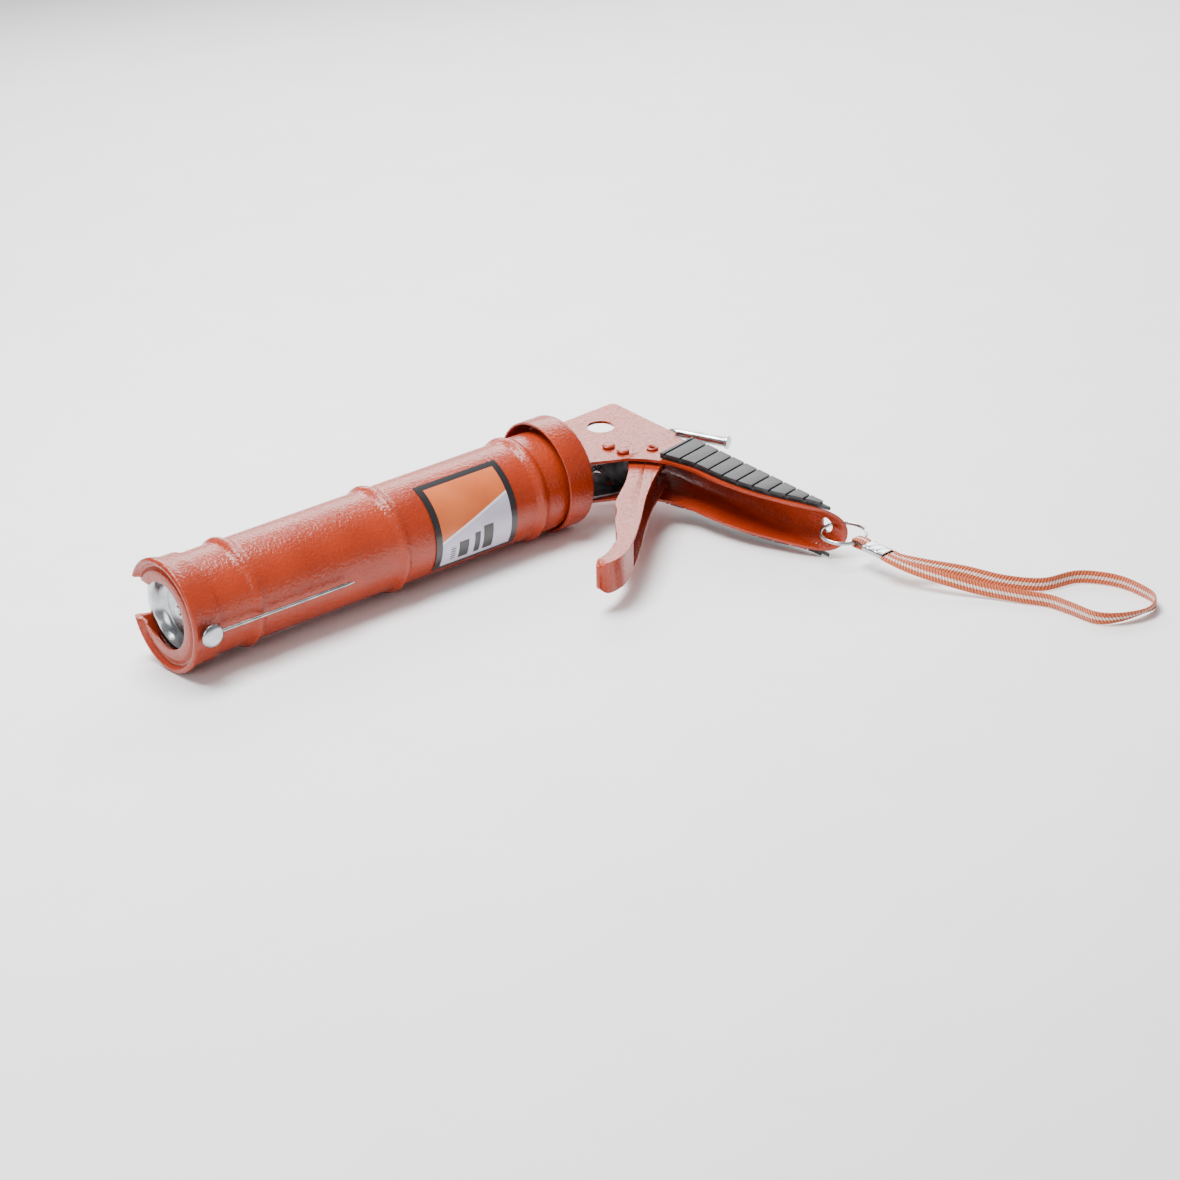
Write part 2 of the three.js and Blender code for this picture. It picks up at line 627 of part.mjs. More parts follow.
// From the ferrule, along the upper run, round the loop's end and back to the ferrule.
const STRAP_ROUTE = [
  [-142.5, 117.6, 12.6], [-142.8, 123.2, 11.9], [-149.3, 135.3, 9.8], [-159.7, 152.2, 7.2], [-167.7, 170.9, 5],
  [-179.6, 186.3, 3.8], [-198.2, 192.7, 3.6], [-207, 209.7, 3.6], [-206.5, 227.7, 3.6], [-202.1, 239.9, 3.6],
  [-191, 244.1, 3.6], [-177, 240.7, 3.6], [-168.6, 232.5, 3.6], [-168.4, 215.7, 3.6], [-167.8, 202.1, 3.6],
  [-162, 187.7, 3.8], [-154.6, 169.3, 4.7], [-147.4, 153.4, 7.2], [-141.3, 135.3, 9.8], [-138.4, 123.2, 11.9],
  [-138.3, 117.6, 12.6],
];

function strapBand() {
  const [half, edge] = [BAND_THICKNESS / 2, BAND_WIDTH / 2];
  const corner = [half * 0.5, edge * 0.7];
  const outline = [[half, -corner[1]], [half, corner[1]], [corner[0], edge], [-corner[0], edge],
    [-half, corner[1]], [-half, -corner[1]], [-corner[0], -edge], [corner[0], -edge]];
  const section = new THREE.Shape(outline.map(([x, y]) => new THREE.Vector2(x, y)));
  const route = new THREE.CatmullRomCurve3(STRAP_ROUTE.map((point) => new THREE.Vector3(...point)));
  return new THREE.ExtrudeGeometry(section, { steps: 64, extrudePath: route });
}

function roundedOutline(width, height, radius) {
  const [w, h] = [width / 2 - radius, height / 2 - radius];
  return [...arc(w, h, radius, 0, 90, 3), ...arc(-w, h, radius, 90, 180, 3),
    ...arc(-w, -h, radius, 180, 270, 3), ...arc(w, -h, radius, 270, 360, 3)];
}

function strapFerrule() {
  const { x, y, z, width, length, thickness, fall } = FERRULE;
  return sheetY(roundedOutline(width, thickness, 1.6), 0, length).rotateX(-fall).translate(x, y, z);
}

// The strap's short end, folded round the ring.
function strapTail() {
  const { x, y, z } = FERRULE;
  const half = BAND_WIDTH / 2;
  const fold = (length, height, radius) => sheetX(roundedOutline(length, height, radius), x - half, x + half);
  const { length, height, wall, radius, rise } = TAIL;
  const hollow = fold(length - 2 * wall, height - 2 * wall, radius - wall);
  return cut(fold(length, height, radius), hollow).translate(0, y - GAP - length / 2, z + rise);
}

const caulkingGun = new THREE.Group();
caulkingGun.add(gun);
part('strap_tail', strapTail(), WEBBING, caulkingGun);
part('strap_ferrule', strapFerrule(), ZINC, caulkingGun);
part('wrist_strap', strapBand(), WEBBING, caulkingGun);
export default caulkingGun;
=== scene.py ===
# %% [markdown]
# # A tube-barrelled caulking gun
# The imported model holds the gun's real sizes and joints. This lesson dresses it: thin folded sheet
# gets rounded edges, turned pieces get smooth outlines, the strap gets its weave, and every finish is
# a node material. Nothing here moves a joint or changes a size.

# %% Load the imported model
import json
import math
from contextlib import contextmanager
from functools import partial

import bmesh
import bpy
from mathutils import Matrix, Vector


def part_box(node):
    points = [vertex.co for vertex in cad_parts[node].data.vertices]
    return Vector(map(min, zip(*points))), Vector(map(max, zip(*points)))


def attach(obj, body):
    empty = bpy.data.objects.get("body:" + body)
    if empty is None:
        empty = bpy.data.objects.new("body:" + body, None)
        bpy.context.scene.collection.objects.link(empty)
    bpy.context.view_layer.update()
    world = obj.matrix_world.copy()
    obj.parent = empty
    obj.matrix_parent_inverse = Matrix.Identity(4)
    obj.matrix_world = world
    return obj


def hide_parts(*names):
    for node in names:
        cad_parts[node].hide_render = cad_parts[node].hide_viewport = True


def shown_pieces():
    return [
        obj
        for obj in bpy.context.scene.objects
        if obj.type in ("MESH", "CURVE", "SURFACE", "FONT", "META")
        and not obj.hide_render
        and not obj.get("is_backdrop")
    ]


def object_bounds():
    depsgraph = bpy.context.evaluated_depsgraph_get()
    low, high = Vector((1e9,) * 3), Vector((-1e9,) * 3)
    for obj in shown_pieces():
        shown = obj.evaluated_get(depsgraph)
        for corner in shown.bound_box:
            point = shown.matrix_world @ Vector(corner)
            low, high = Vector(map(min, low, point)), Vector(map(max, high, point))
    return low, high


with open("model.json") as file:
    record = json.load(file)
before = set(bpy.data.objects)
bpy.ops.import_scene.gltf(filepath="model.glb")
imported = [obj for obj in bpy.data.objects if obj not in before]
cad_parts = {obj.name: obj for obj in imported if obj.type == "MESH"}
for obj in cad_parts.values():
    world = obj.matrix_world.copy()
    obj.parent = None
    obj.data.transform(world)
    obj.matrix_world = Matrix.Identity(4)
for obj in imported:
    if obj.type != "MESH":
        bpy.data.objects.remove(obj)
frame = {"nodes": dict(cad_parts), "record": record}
record = frame["record"]
cad_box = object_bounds()
joints = {joint["name"]: joint for joint in record["behaviour"]["joints"]}

# %% [markdown]
# ## The gun's own axes
# The gun lies rolled over on its side, so its parts are awkward to place in the table's axes. Its
# joints give its own: the barrel slides along the first, the puncture wire turns about the second and
# the trigger about the third. Working in those, in millimetres, makes every piece a plain one, and one
# matrix at the end lays it on the table. It is applied to the mesh, so each object stays at the origin.

# %% From the gun's millimetres to the table's metres
TRIGGER_PIVOT = Vector((-288.3, 29.1, 0))

gun_axes = Matrix((
    joints["barrel_slide"]["axis"],
    joints["puncture_wire_hinge"]["axis"],
    joints["trigger_squeeze"]["axis"],
)).transposed()
to_table = (
    Matrix.Translation(joints["trigger_squeeze"]["pos_m"])
    @ gun_axes.to_4x4()
    @ Matrix.Scale(0.001, 4)
    @ Matrix.Translation(-TRIGGER_PIVOT)
)
from_table = to_table.inverted()


def reach(node):
    """A node's lowest and highest corners in the gun's own axes, in millimetres."""
    places = [from_table @ vertex.co for vertex in frame["nodes"][node].data.vertices]
    low = Vector(min(place[i] for place in places) for i in range(3))
    high = Vector(max(place[i] for place in places) for i in range(3))
    return low, high


def place_object(name, data):
    """A new object in the scene."""
    thing = bpy.data.objects.new(name, data)
    bpy.context.collection.objects.link(thing)
    return thing


tube_low, tube_high = reach("barrel_tube")
print("barrel from", round(tube_low.x, 1), "to", round(tube_high.x, 1), "mm")

# %% [markdown]
# ## The camera
# The view looks at the gun's nose from a little above, with a long lens, so the far end shrinks only
# a little. It is placed in the gun's axes as well, because it was found by lining those up.

# %% Camera
CAMERA_PLACE = Vector((699.2, 1208.3, 733.8))
CAMERA_RIGHT = Vector((-0.776, 0.631, -0.015))
CAMERA_DOWN = Vector((0.303, 0.352, -0.886))
LENS = 97.75
SENSOR_WIDTH = 36
FARTHEST = 20


def add_camera():
    back = CAMERA_RIGHT.cross(-CAMERA_DOWN).normalized()
    up = back.cross(CAMERA_RIGHT).normalized()
    turn = gun_axes @ Matrix((up.cross(back), up, back)).transposed()
    data = bpy.data.cameras.new("photo_camera")
    data.lens, data.sensor_width, data.clip_end = LENS, SENSOR_WIDTH, FARTHEST
    camera = place_object("photo_camera", data)
    camera.matrix_world = Matrix.Translation(to_table @ CAMERA_PLACE) @ turn.to_4x4()
    bpy.context.scene.camera = camera
    return camera


camera = add_camera()
print("camera at", [round(value, 3) for value in camera.matrix_world.translation])

# %% [markdown]
# ## Node materials, in short
# Each finish is one Principled shader whose colour, roughness and bump come from noise on the Object
# coordinates, so the grain keeps its real size on every piece. Small helpers keep the finishes short:
# one starts a material, one adds a node and joins its inputs, one makes a colour ramp, and one joins
# the colour, the roughness and the bumps to the shader.

# %% Material helpers


def start_material(name, **sockets):
    """A material, its node tree and its shader. Numbers that don't vary go on the shader's sockets."""
    material = bpy.data.materials.new(name)
    material.use_nodes = True
    tree = material.node_tree
    shader = tree.nodes["Principled BSDF"]
    for socket, value in sockets.items():
        shader.inputs[socket.replace("_", " ")].default_value = value
    return material, tree, shader


def add(tree, kind, inputs=None, **settings):
    """A node with its settings, and its inputs either joined to a socket or given a value."""
    node = tree.nodes.new(kind)
    for name, value in settings.items():
        setattr(node, name, value)
    for key, value in (inputs or {}).items():
        if isinstance(value, bpy.types.NodeSocket):
            tree.links.new(value, node.inputs[key])
        else:
            node.inputs[key].default_value = value
    return node


def ramp(tree, factor, *stops):
    """Colours along a factor, each stop a place and a colour."""
    node = add(tree, "ShaderNodeValToRGB", {"Fac": factor})
    elements = node.color_ramp.elements
    while len(elements) < len(stops):
        elements.new(0.5)
    for element, (place, color) in zip(elements, stops):
        element.position = place
        element.color = (*color, 1)
    return node.outputs["Color"]


def grain(tree, size, detail=2.0, stretch=(1, 1, 1), roughness=0.5):
    """Noise whose lumps are about size metres across, drawn out along any axis with a small stretch."""
    where = add(tree, "ShaderNodeTexCoord").outputs["Object"]
    mapped = add(tree, "ShaderNodeMapping", {"Vector": where, "Scale": stretch}).outputs["Vector"]
    noise = add(tree, "ShaderNodeTexNoise", {
        "Vector": mapped, "Scale": 1 / size, "Detail": detail, "Roughness": roughness,
    })
    return noise.outputs["Fac"]


def number(tree, factor, low, high):
    """A factor from 0 to 1 spread over another range."""
    spread = add(tree, "ShaderNodeMapRange", {"Value": factor, "To Min": low, "To Max": high})
    return spread.outputs["Result"]


def surface(tree, shader, color, roughness=None, relief=()):
    """Colour, roughness and bumps on bumps: each bump is a height from 0 to 1 and its depth in metres."""
    tree.links.new(color, shader.inputs["Base Color"])
    if roughness is not None:
        tree.links.new(roughness, shader.inputs["Roughness"])
    normal = {}
    for height, depth in relief:
        bump = add(tree, "ShaderNodeBump", {"Height": height, "Distance": depth, "Strength": 1.0, **normal})
        normal = {"Normal": bump.outputs["Normal"]}
    for socket in ("Normal", "Coat Normal") if relief else ():
        tree.links.new(normal["Normal"], shader.inputs[socket])


# %% [markdown]
# ## Orange enamel
# The paint is a thick baked enamel. As it flowed and cured it drew into small dimples about a
# millimetre across, which break every highlight into sparkling crumbs. A smooth Voronoi cell gives a
# dimple its round floor, noise makes no two alike, and a thin clear coat gives the gloss.

# %% Orange enamel
ENAMEL = (0.37, 0.036, 0.009)
ENAMEL_DARK = (0.28, 0.025, 0.006)
COLOUR_PATCH = 0.03
GLOSS_PATCH = 0.004


def make_enamel(name, dimple, depth):
    """The dimple's size and depth are in metres."""
    material, tree, shader = start_material(
        name, Coat_Weight=0.2, Coat_Roughness=0.12, Specular_IOR_Level=0.32)
    color = ramp(tree, grain(tree, COLOUR_PATCH, detail=3), (0.3, ENAMEL_DARK), (0.7, ENAMEL))
    where = add(tree, "ShaderNodeTexCoord").outputs["Object"]
    wander = add(tree, "ShaderNodeTexNoise", {"Vector": where, "Scale": 0.9 / dimple}).outputs["Color"]
    bent = add(tree, "ShaderNodeVectorMath", {0: wander, 1: (dimple * 1.1,) * 3}, operation="MULTIPLY")
    moved = add(tree, "ShaderNodeVectorMath", {0: where, 1: bent.outputs["Vector"]}, operation="ADD")
    cells = add(tree, "ShaderNodeTexVoronoi", {
        "Vector": moved.outputs["Vector"], "Scale": 1 / dimple, "Smoothness": 0.7,
    }, feature="SMOOTH_F1")
    surface(tree, shader, color, number(tree, grain(tree, GLOSS_PATCH), 0.26, 0.4),
            [(cells.outputs["Distance"], depth), (grain(tree, dimple * 1.6), depth * 0.7)])
    return material


enamel = make_enamel("orange_enamel", dimple=0.0014, depth=0.00022)

# %% [markdown]
# ## Zinc, steel, rubber
# Bright zinc plate isn't a mirror: it shows fine marks from drawing and turning, and faint cloudy
# bloom. Dull steel is the same idea, darker and rougher. The pads' rubber is nearly black, greyed on
# its worn faces by a fine spark texture.

# %% Metals and rubber
CLOUD = 0.006
MARKS = 0.0006
BLOOM = 0.007


def make_metal(name, color, dark, rough, stretch=(1, 1, 1)):
    material, tree, shader = start_material(name, Metallic=1.0)
    cloud = grain(tree, CLOUD, detail=4)
    scratch = grain(tree, MARKS, detail=3, stretch=stretch, roughness=0.7)
    surface(tree, shader, ramp(tree, cloud, (0.3, dark), (0.65, color)),
            number(tree, scratch, rough - 0.07, rough + 0.14), [(scratch, 0.000012), (cloud, 0.00005)])
    return material


def make_rubber(name):
    material, tree, shader = start_material(name, Specular_IOR_Level=0.45)
    bloom = grain(tree, BLOOM, detail=5)
    color = ramp(tree, bloom, (0.3, (0.014, 0.0145, 0.016)), (0.75, (0.034, 0.035, 0.037)))
    surface(tree, shader, color, number(tree, bloom, 0.42, 0.6), [(grain(tree, 0.0004, detail=3), 0.00003)])
    return material


# A finish is the name of a slot and the material in it.
PAINT = ("orange_paint", enamel)
ZINC = ("zinc_plate", make_metal("bright_zinc", (0.50, 0.52, 0.54), (0.30, 0.32, 0.34), rough=0.2))
DRAWN_ZINC = ("zinc_plate", make_metal(
    "drawn_zinc", (0.56, 0.57, 0.58), (0.24, 0.25, 0.26), rough=0.18, stretch=(0.05, 1, 1)))
STEEL = ("plain_steel", make_metal("dull_steel", (0.3, 0.3, 0.31), (0.13, 0.13, 0.14), rough=0.36))
RUBBER = ("pad_rubber", make_rubber("pad_rubber"))
print("finishes", [m.name for m in bpy.data.materials])

# %% [markdown]
# ## Finishing a piece
# Every finished piece takes the same steps: its mesh is laid on the table, shaded smooth except at its
# real corners, given a finish, and made to ride on its body in place of the plain nodes it stands for.

# %% Piece helpers
CORNER = math.radians(32)
SOFT_CORNER = math.radians(60)
BEVELLED_ANGLE = math.radians(36)
SEAM = 1e-4
FINE_SEAM = 1e-5


def shade(mesh, corner=CORNER):
    mesh.shade_smooth()
    mesh.set_sharp_from_angle(angle=corner)


def finish_piece(name, mesh, body, finish, nodes, corner=CORNER, matrix=to_table):
    """The piece, laid on the table; a corner of None keeps the shading it came with."""
    slot, material = finish
    mesh.transform(matrix)
    mesh.materials.clear()
    mesh.materials.append(material)
    if corner is not None:
        shade(mesh, corner)
    piece = place_object(name, mesh)
    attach(piece, body)
    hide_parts(*nodes)
    return piece


@contextmanager
def editing(mesh):
    """The mesh opened for editing, and written back after."""
    shape = bmesh.new()
    if len(mesh.vertices):
        shape.from_mesh(mesh)
    yield shape
    shape.to_mesh(mesh)
    shape.free()


def mesh_from(name, corners, faces, edges=()):
    mesh = bpy.data.meshes.new(name)
    mesh.from_pydata([tuple(corner) for corner in corners], list(edges), faces)
    return mesh


def sewn(mesh, gap=SEAM, slivers=False):
    """The mesh with its seams sewn and its faces pointing out, and if asked without flat slivers."""
    with editing(mesh) as shape:
        bmesh.ops.remove_doubles(shape, verts=shape.verts, dist=gap)
        if slivers:
            bmesh.ops.dissolve_degenerate(shape, edges=shape.edges, dist=FINE_SEAM)
        bmesh.ops.recalc_face_normals(shape, faces=shape.faces)
    return mesh


def joined(name, *meshes):
    """Several skins in one mesh."""
    result = bpy.data.meshes.new(name)
    with editing(result) as shape:
        for mesh in meshes:
            shape.from_mesh(mesh)
    return result


def evaluated(holder):
    """The holder's mesh as its modifiers leave it. The holder goes away."""
    seen = holder.evaluated_get(bpy.context.evaluated_depsgraph_get())
    mesh = bpy.data.meshes.new_from_object(seen)
    bpy.data.objects.remove(holder)
    return mesh


def with_modifiers(mesh, *modifiers):
    """The mesh after a list of modifiers, each a kind and its settings."""
    holder = place_object(mesh.name, mesh)
    for kind, settings in modifiers:
        modifier = holder.modifiers.new(kind.lower(), kind)
        for key, value in settings.items():
            setattr(modifier, key, value)
    return evaluated(holder)


def rounded_edges(width, segments=2):
    """A bevel on every edge sharper than the angle."""
    return ("BEVEL", {
        "width": width, "segments": segments, "limit_method": "ANGLE", "angle_limit": BEVELLED_ANGLE,
        "harden_normals": False, "use_clamp_overlap": True,
    })


def thickened(mesh, wall):
    """A sheet given a wall on its inner side."""
    return with_modifiers(mesh, ("SOLIDIFY", {"thickness": wall, "offset": -1.0}))


def without(mesh, *tools):
    """The mesh with other meshes cut out of it."""
    for tool in tools:
        cutter = place_object("cutter", tool)
        cut = {"operation": "DIFFERENCE", "solver": "EXACT", "object": cutter}
        mesh = with_modifiers(mesh, ("BOOLEAN", cut))
        bpy.data.objects.remove(cutter)
    return mesh


def triangles():
    seen = 0
    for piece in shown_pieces():
        if piece.type == "MESH":
            seen += sum(len(face.vertices) - 2 for face in piece.data.polygons)
    return seen


# %% [markdown]
# ## Turned pieces
# The cap, the collar, the piston and the rivets were pressed or turned, so each is one profile swept
# round an axis. A profile is a list of stations and radii; arcs fill its rounded corners. The faces
# are many enough that no flat shows on the outline.

# %% Turning helpers


def circle(sides):
    """Cosines and sines of equal steps round a circle."""
    turns = [2 * math.pi * step / sides for step in range(sides)]
    return [(math.cos(turn), math.sin(turn)) for turn in turns]


def ring_faces(rings, sides, closed=False):
    """The faces between rings of corners, and if closed also from the last ring to the first."""
    faces = []
    for ring in range(rings if closed else rings - 1):
        here, there = ring * sides, (ring + 1) % rings * sides
        for step in range(sides):
            beside = (step + 1) % sides
            faces.append((here + step, here + beside, there + beside, there + step))
    return faces


def turned(name, profile, sides=128, axis="X", centre=(0, 0, 0)):
    """A closed profile of (station, radius) pairs turned about an axis through centre."""
    corners = []
    for station, radius in profile:
        for cos, sin in circle(sides):
            a, b = radius * cos, radius * sin
            place = {"X": (station, a, b), "Y": (b, station, a), "Z": (a, b, station)}[axis]
            corners.append(Vector(place) + Vector(centre))
    return sewn(mesh_from(name, corners, ring_faces(len(profile), sides, closed=True)), slivers=True)


def drill(low, high, radius, sides, axis="X", centre=(0, 0, 0)):
    """A plain round tool that cuts a hole."""
    return turned("hole", [(low, 0), (low, radius), (high, radius), (high, 0)], sides, axis, centre)


def arc(x, y, radius, start, end, count):
    """Points on a circle, the angles in degrees."""
    turns = [math.radians(start + (end - start) * i / count) for i in range(count + 1)]
    return [(x + radius * math.cos(turn), y + radius * math.sin(turn)) for turn in turns]


def prism(name, outline, low, high, axis="Z"):
    """A flat outline given thickness along X or Z; the outline is in the two other axes' order."""
    order = {"X": (2, 0, 1), "Z": (0, 1, 2)}[axis]
    corners = [[(a, b, level)[i] for i in order] for level in (low, high) for a, b in outline]
    count = len(outline)
    faces = [tuple(range(count)), tuple(range(count, 2 * count)), *ring_faces(2, count)]
    return sewn(mesh_from(name, corners, faces), FINE_SEAM)


# %% [markdown]
# ## Front cap
# The cap is a deep-drawn cup. Its rim is rolled, a groove runs inside the rim, and its floor is open
# for the nozzle, with a slot down to the edge so that a cartridge drops in sideways. It is turned
# first and cut after, and then all its raw edges are rounded a little, as paint rounds them.

# %% Front cap
cap_low = reach("front_cap")[0]
RIM_RADIUS = -cap_low.z
NOZZLE_RADIUS = 17.4
WIRE_RIVET_X = -8
WIRE_RIVET_HOLE = 2.3
CAP_WALL = 1.15
SLOT_OUTLINE = [(-7, -15.6), (0, 0), (0, 12), (-24, 12), (-35, 14), (-35, -8.6)]


def front_cap():
    skirt = RIM_RADIUS - 1.7
    outside = [(cap_low.x, skirt), (-10.5, skirt), (-8.2, skirt + 0.15), (-6, 28.7), (-3.6, 29.5)]
    rim = arc(-1.6, RIM_RADIUS - 1.6, 1.6, 100, -35, 10)
    groove = [(-1.4, 26.6), (-2.3, 25.9), (-2.5, 25.1), (-2.2, 24.2), (-1.5, 23.5), (-1.2, 22.6)]
    lip = [(-1.2, NOZZLE_RADIUS + 0.8), (-1.35, NOZZLE_RADIUS + 0.2), (-1.8, NOZZLE_RADIUS),
           (-2.25, NOZZLE_RADIUS + 0.2), (-2.4, NOZZLE_RADIUS + 0.8)]
    inside = [(-2.4, 22.6), (-3.7, 24.2), (-3.6, 26.6), (-3.6, 27.8), (-6, 27.5), (-10, skirt - CAP_WALL),
              (cap_low.x, skirt - CAP_WALL)]
    cup = turned("front_cap", [*outside, *rim, *groove, *lip, *inside], sides=160)
    slot = prism("slot", SLOT_OUTLINE, -11.5, 2, axis="X")
    hole = drill(24, 34, WIRE_RIVET_HOLE, 32, "Y", (WIRE_RIVET_X, 0, 0))
    return with_modifiers(without(cup, slot, hole), rounded_edges(0.28))


cap = finish_piece("drawn_front_cap", front_cap(), "barrel", PAINT, ["front_cap"])
print("front cap", len(cap.data.polygons), "faces")

# %% [markdown]
# ## Geometry Nodes, built in the script
# A node tree is a recipe with named inputs. These helpers start a tree, add its inputs, and run it on
# a mesh: the modifier's inputs are set by their identifiers, the evaluated result is copied out as a
# plain mesh, and the modifier goes away with its holder.

# %% Node tree helpers


def start_tree(name, **inputs):
    """A tree with a geometry going in and out and named number inputs, which keep their defaults."""
    tree = bpy.data.node_groups.new(name, "GeometryNodeTree")
    tree.interface.new_socket("Geometry", in_out="INPUT", socket_type="NodeSocketGeometry")
    for label, value in inputs.items():
        kind = "NodeSocketInt" if isinstance(value, int) else "NodeSocketFloat"
        socket = tree.interface.new_socket(label.replace("_", " "), in_out="INPUT", socket_type=kind)
        socket.default_value = value
    tree.interface.new_socket("Finish", in_out="INPUT", socket_type="NodeSocketMaterial")
    tree.interface.new_socket("Geometry", in_out="OUTPUT", socket_type="NodeSocketGeometry")
    source = tree.nodes.new("NodeGroupInput")
    return tree, {socket.name: socket for socket in source.outputs if socket.name}


def math_node(tree, operation, *values):
    return add(tree, "ShaderNodeMath", dict(enumerate(values)), operation=operation).outputs["Value"]


def vector(tree, **parts):
    """A vector of its X, Y and Z, each a number or a socket."""
    return add(tree, "ShaderNodeCombineXYZ", parts).outputs["Vector"]


def end_tree(tree, geometry, finish):
    """Every tree ends by making its copies real and giving them their finish."""
    real = add(tree, "GeometryNodeRealizeInstances", {"Geometry": geometry}).outputs["Geometry"]
    done = add(tree, "GeometryNodeSetMaterial", {"Geometry": real, "Material": finish}).outputs["Geometry"]
    add(tree, "NodeGroupOutput", {"Geometry": done})
    return tree


def run_tree(tree, finish, mesh=None, **values):
    holder = place_object(tree.name, mesh or bpy.data.meshes.new(tree.name))
    modifier = holder.modifiers.new(tree.name, "NODES")
    modifier.node_group = tree
    places = {item.name: item.identifier for item in tree.interface.items_tree if item.in_out == "INPUT"}
    modifier[places["Finish"]] = finish[1]
    for label, value in values.items():
        modifier[places[label.replace("_", " ")]] = value
    return evaluated(holder)


# %% [markdown]
# ## Barrel
# The barrel is sheet rolled into a tube, with three beads rolled into it for stiffness. Its shape is a
# rule: at each station the radius is the tube's, plus a cosine swell near a bead. So one tree makes
# it: a flat grid is wrapped round the axis, each point going out by the rule. A Solidify modifier then
# gives the sheet its thickness.

# %% Barrel
BEAD_STATIONS = (-39.5, -128, -216.6)
BEAD_RISE = 2.1
BEAD_HALF_WIDTH = 5.2
TUBE_WALL = 0.9


def rolled_barrel_tree():
    tree, given = start_tree(
        "rolled_barrel", Radius=26.5, Front=0.0, Back=-200.0, Bead_rise=2.0, Bead_half_width=5.0,
        Bead_1=-40.0, Bead_2=-130.0, Bead_3=-215.0, Around=120, Along=200)
    calc = partial(math_node, tree)
    grid = add(tree, "GeometryNodeMeshGrid", {
        "Size X": 1.0, "Size Y": 1.0, "Vertices X": given["Around"], "Vertices Y": given["Along"],
    })
    position = add(tree, "GeometryNodeInputPosition").outputs["Position"]
    place = add(tree, "ShaderNodeSeparateXYZ", {"Vector": position})
    turn = calc("MULTIPLY", place.outputs["X"], 2 * math.pi)
    share = calc("ADD", place.outputs["Y"], 0.5)
    length = calc("SUBTRACT", given["Front"], given["Back"])
    station = calc("MULTIPLY_ADD", share, length, given["Back"])
    radius = given["Radius"]
    for bead in ("Bead 1", "Bead 2", "Bead 3"):
        away = calc("ABSOLUTE", calc("SUBTRACT", station, given[bead]))
        away = calc("DIVIDE", away, given["Bead half width"])
        share_out = calc("MINIMUM", away, 1.0)
        wave = calc("COSINE", calc("MULTIPLY", share_out, math.pi))
        swell = calc("POWER", calc("MULTIPLY_ADD", wave, 0.5, 0.5), 1.25)
        radius = calc("MULTIPLY_ADD", swell, given["Bead rise"], radius)
    across = calc("MULTIPLY", radius, calc("COSINE", turn))
    upward = calc("MULTIPLY", radius, calc("SINE", turn))
    moved = add(tree, "GeometryNodeSetPosition", {
        "Geometry": grid.outputs["Mesh"], "Position": vector(tree, X=station, Y=across, Z=upward),
    })
    seamless = add(tree, "GeometryNodeMergeByDistance", {
        "Geometry": moved.outputs["Geometry"], "Distance": 0.01,
    })
    return end_tree(tree, seamless.outputs["Geometry"], given["Finish"])


def facing_away_from_axis(mesh):
    """An open tube's faces, turned to look outwards."""
    face = sewn(mesh).polygons[0]
    if face.normal.dot(Vector((0, face.center.y, face.center.z))) < 0:
        mesh.flip_normals()
    return mesh


beads = {f"Bead_{index}": station for index, station in enumerate(BEAD_STATIONS, 1)}
barrel_shell = run_tree(
    rolled_barrel_tree(), PAINT, Radius=tube_high.z - BEAD_RISE, Front=tube_high.x, Back=tube_low.x,
    Bead_rise=BEAD_RISE, Bead_half_width=BEAD_HALF_WIDTH, Around=113, Along=281, **beads)
barrel_wall = thickened(facing_away_from_axis(barrel_shell), TUBE_WALL)
barrel = finish_piece("rolled_barrel", barrel_wall, "barrel", PAINT, ["barrel_tube"])
print("barrel", len(barrel.data.polygons), "faces")

# %% [markdown]
# ## Collar and piston
# The collar is a shallow cup that the barrel's end sits in, a little above the rod's line, so a
# dark gap shows along its top. The piston is a dished disc that pushes the cartridge's base.

# %% Collar, piston and its nut
collar_low, collar_high = reach("rear_collar")
COLLAR_RADIUS = collar_high.y
COLLAR_LIFT = (collar_high.z + collar_low.z) / 2
COLLAR_WALL = 1.2
COLLAR_HOLE = 7.9


def rear_collar():
    front, back = collar_high.x, collar_low.x
    inner = COLLAR_RADIUS - COLLAR_WALL
    outside = [(front, COLLAR_RADIUS - 0.3), (front - 0.3, COLLAR_RADIUS),
               *arc(back + 3, COLLAR_RADIUS - 3, 3, 90, 180, 8)]
    floor = back + COLLAR_WALL
    inside = [(back, 0), (floor, 0), (floor, inner - 1.8), (floor + 0.5, inner - 0.5), (floor + 1.8, inner),
              (front - 0.3, inner), (front, inner + 0.3)]
    cup = turned("rear_collar", [*outside, *inside], 144, "X", (0, 0, COLLAR_LIFT))
    return without(cup, drill(back - 3, back + 5, COLLAR_HOLE, 40))


def piston_disc():
    low, high = reach("piston_disc")
    face = [(-11.9, 2.6), (-11.9, 13.6), (-11.5, 14.8), (-10.4, 16.1), (-8.6, 17.2), (-6.6, 18.0),
            (-5.85, 18.6), (-5.7, 19.3), (-5.9, 20.6), (-6.2, 22.6), (-6.7, 23.8), (-7.9, high.y),
            (low.x, high.y)]
    back = [(low.x, high.y - 1.1), (-9.2, high.y - 1.1), (-7.9, 22.6), (-7.2, 20.6), (-7.1, 19.6),
            (-8.4, 18.6), (-10.6, 17.4), (-12.6, 15.6), (-13.1, 14.4), (-13.1, 2.6)]
    return turned("piston_disc", [*face, *back])


finish_piece("drawn_collar", rear_collar(), "frame", PAINT, ["rear_collar"])
finish_piece("dished_piston", piston_disc(), "rod", ZINC, ["piston_disc"])
print("collar radius", round(COLLAR_RADIUS, 2), "lift", round(COLLAR_LIFT, 2))

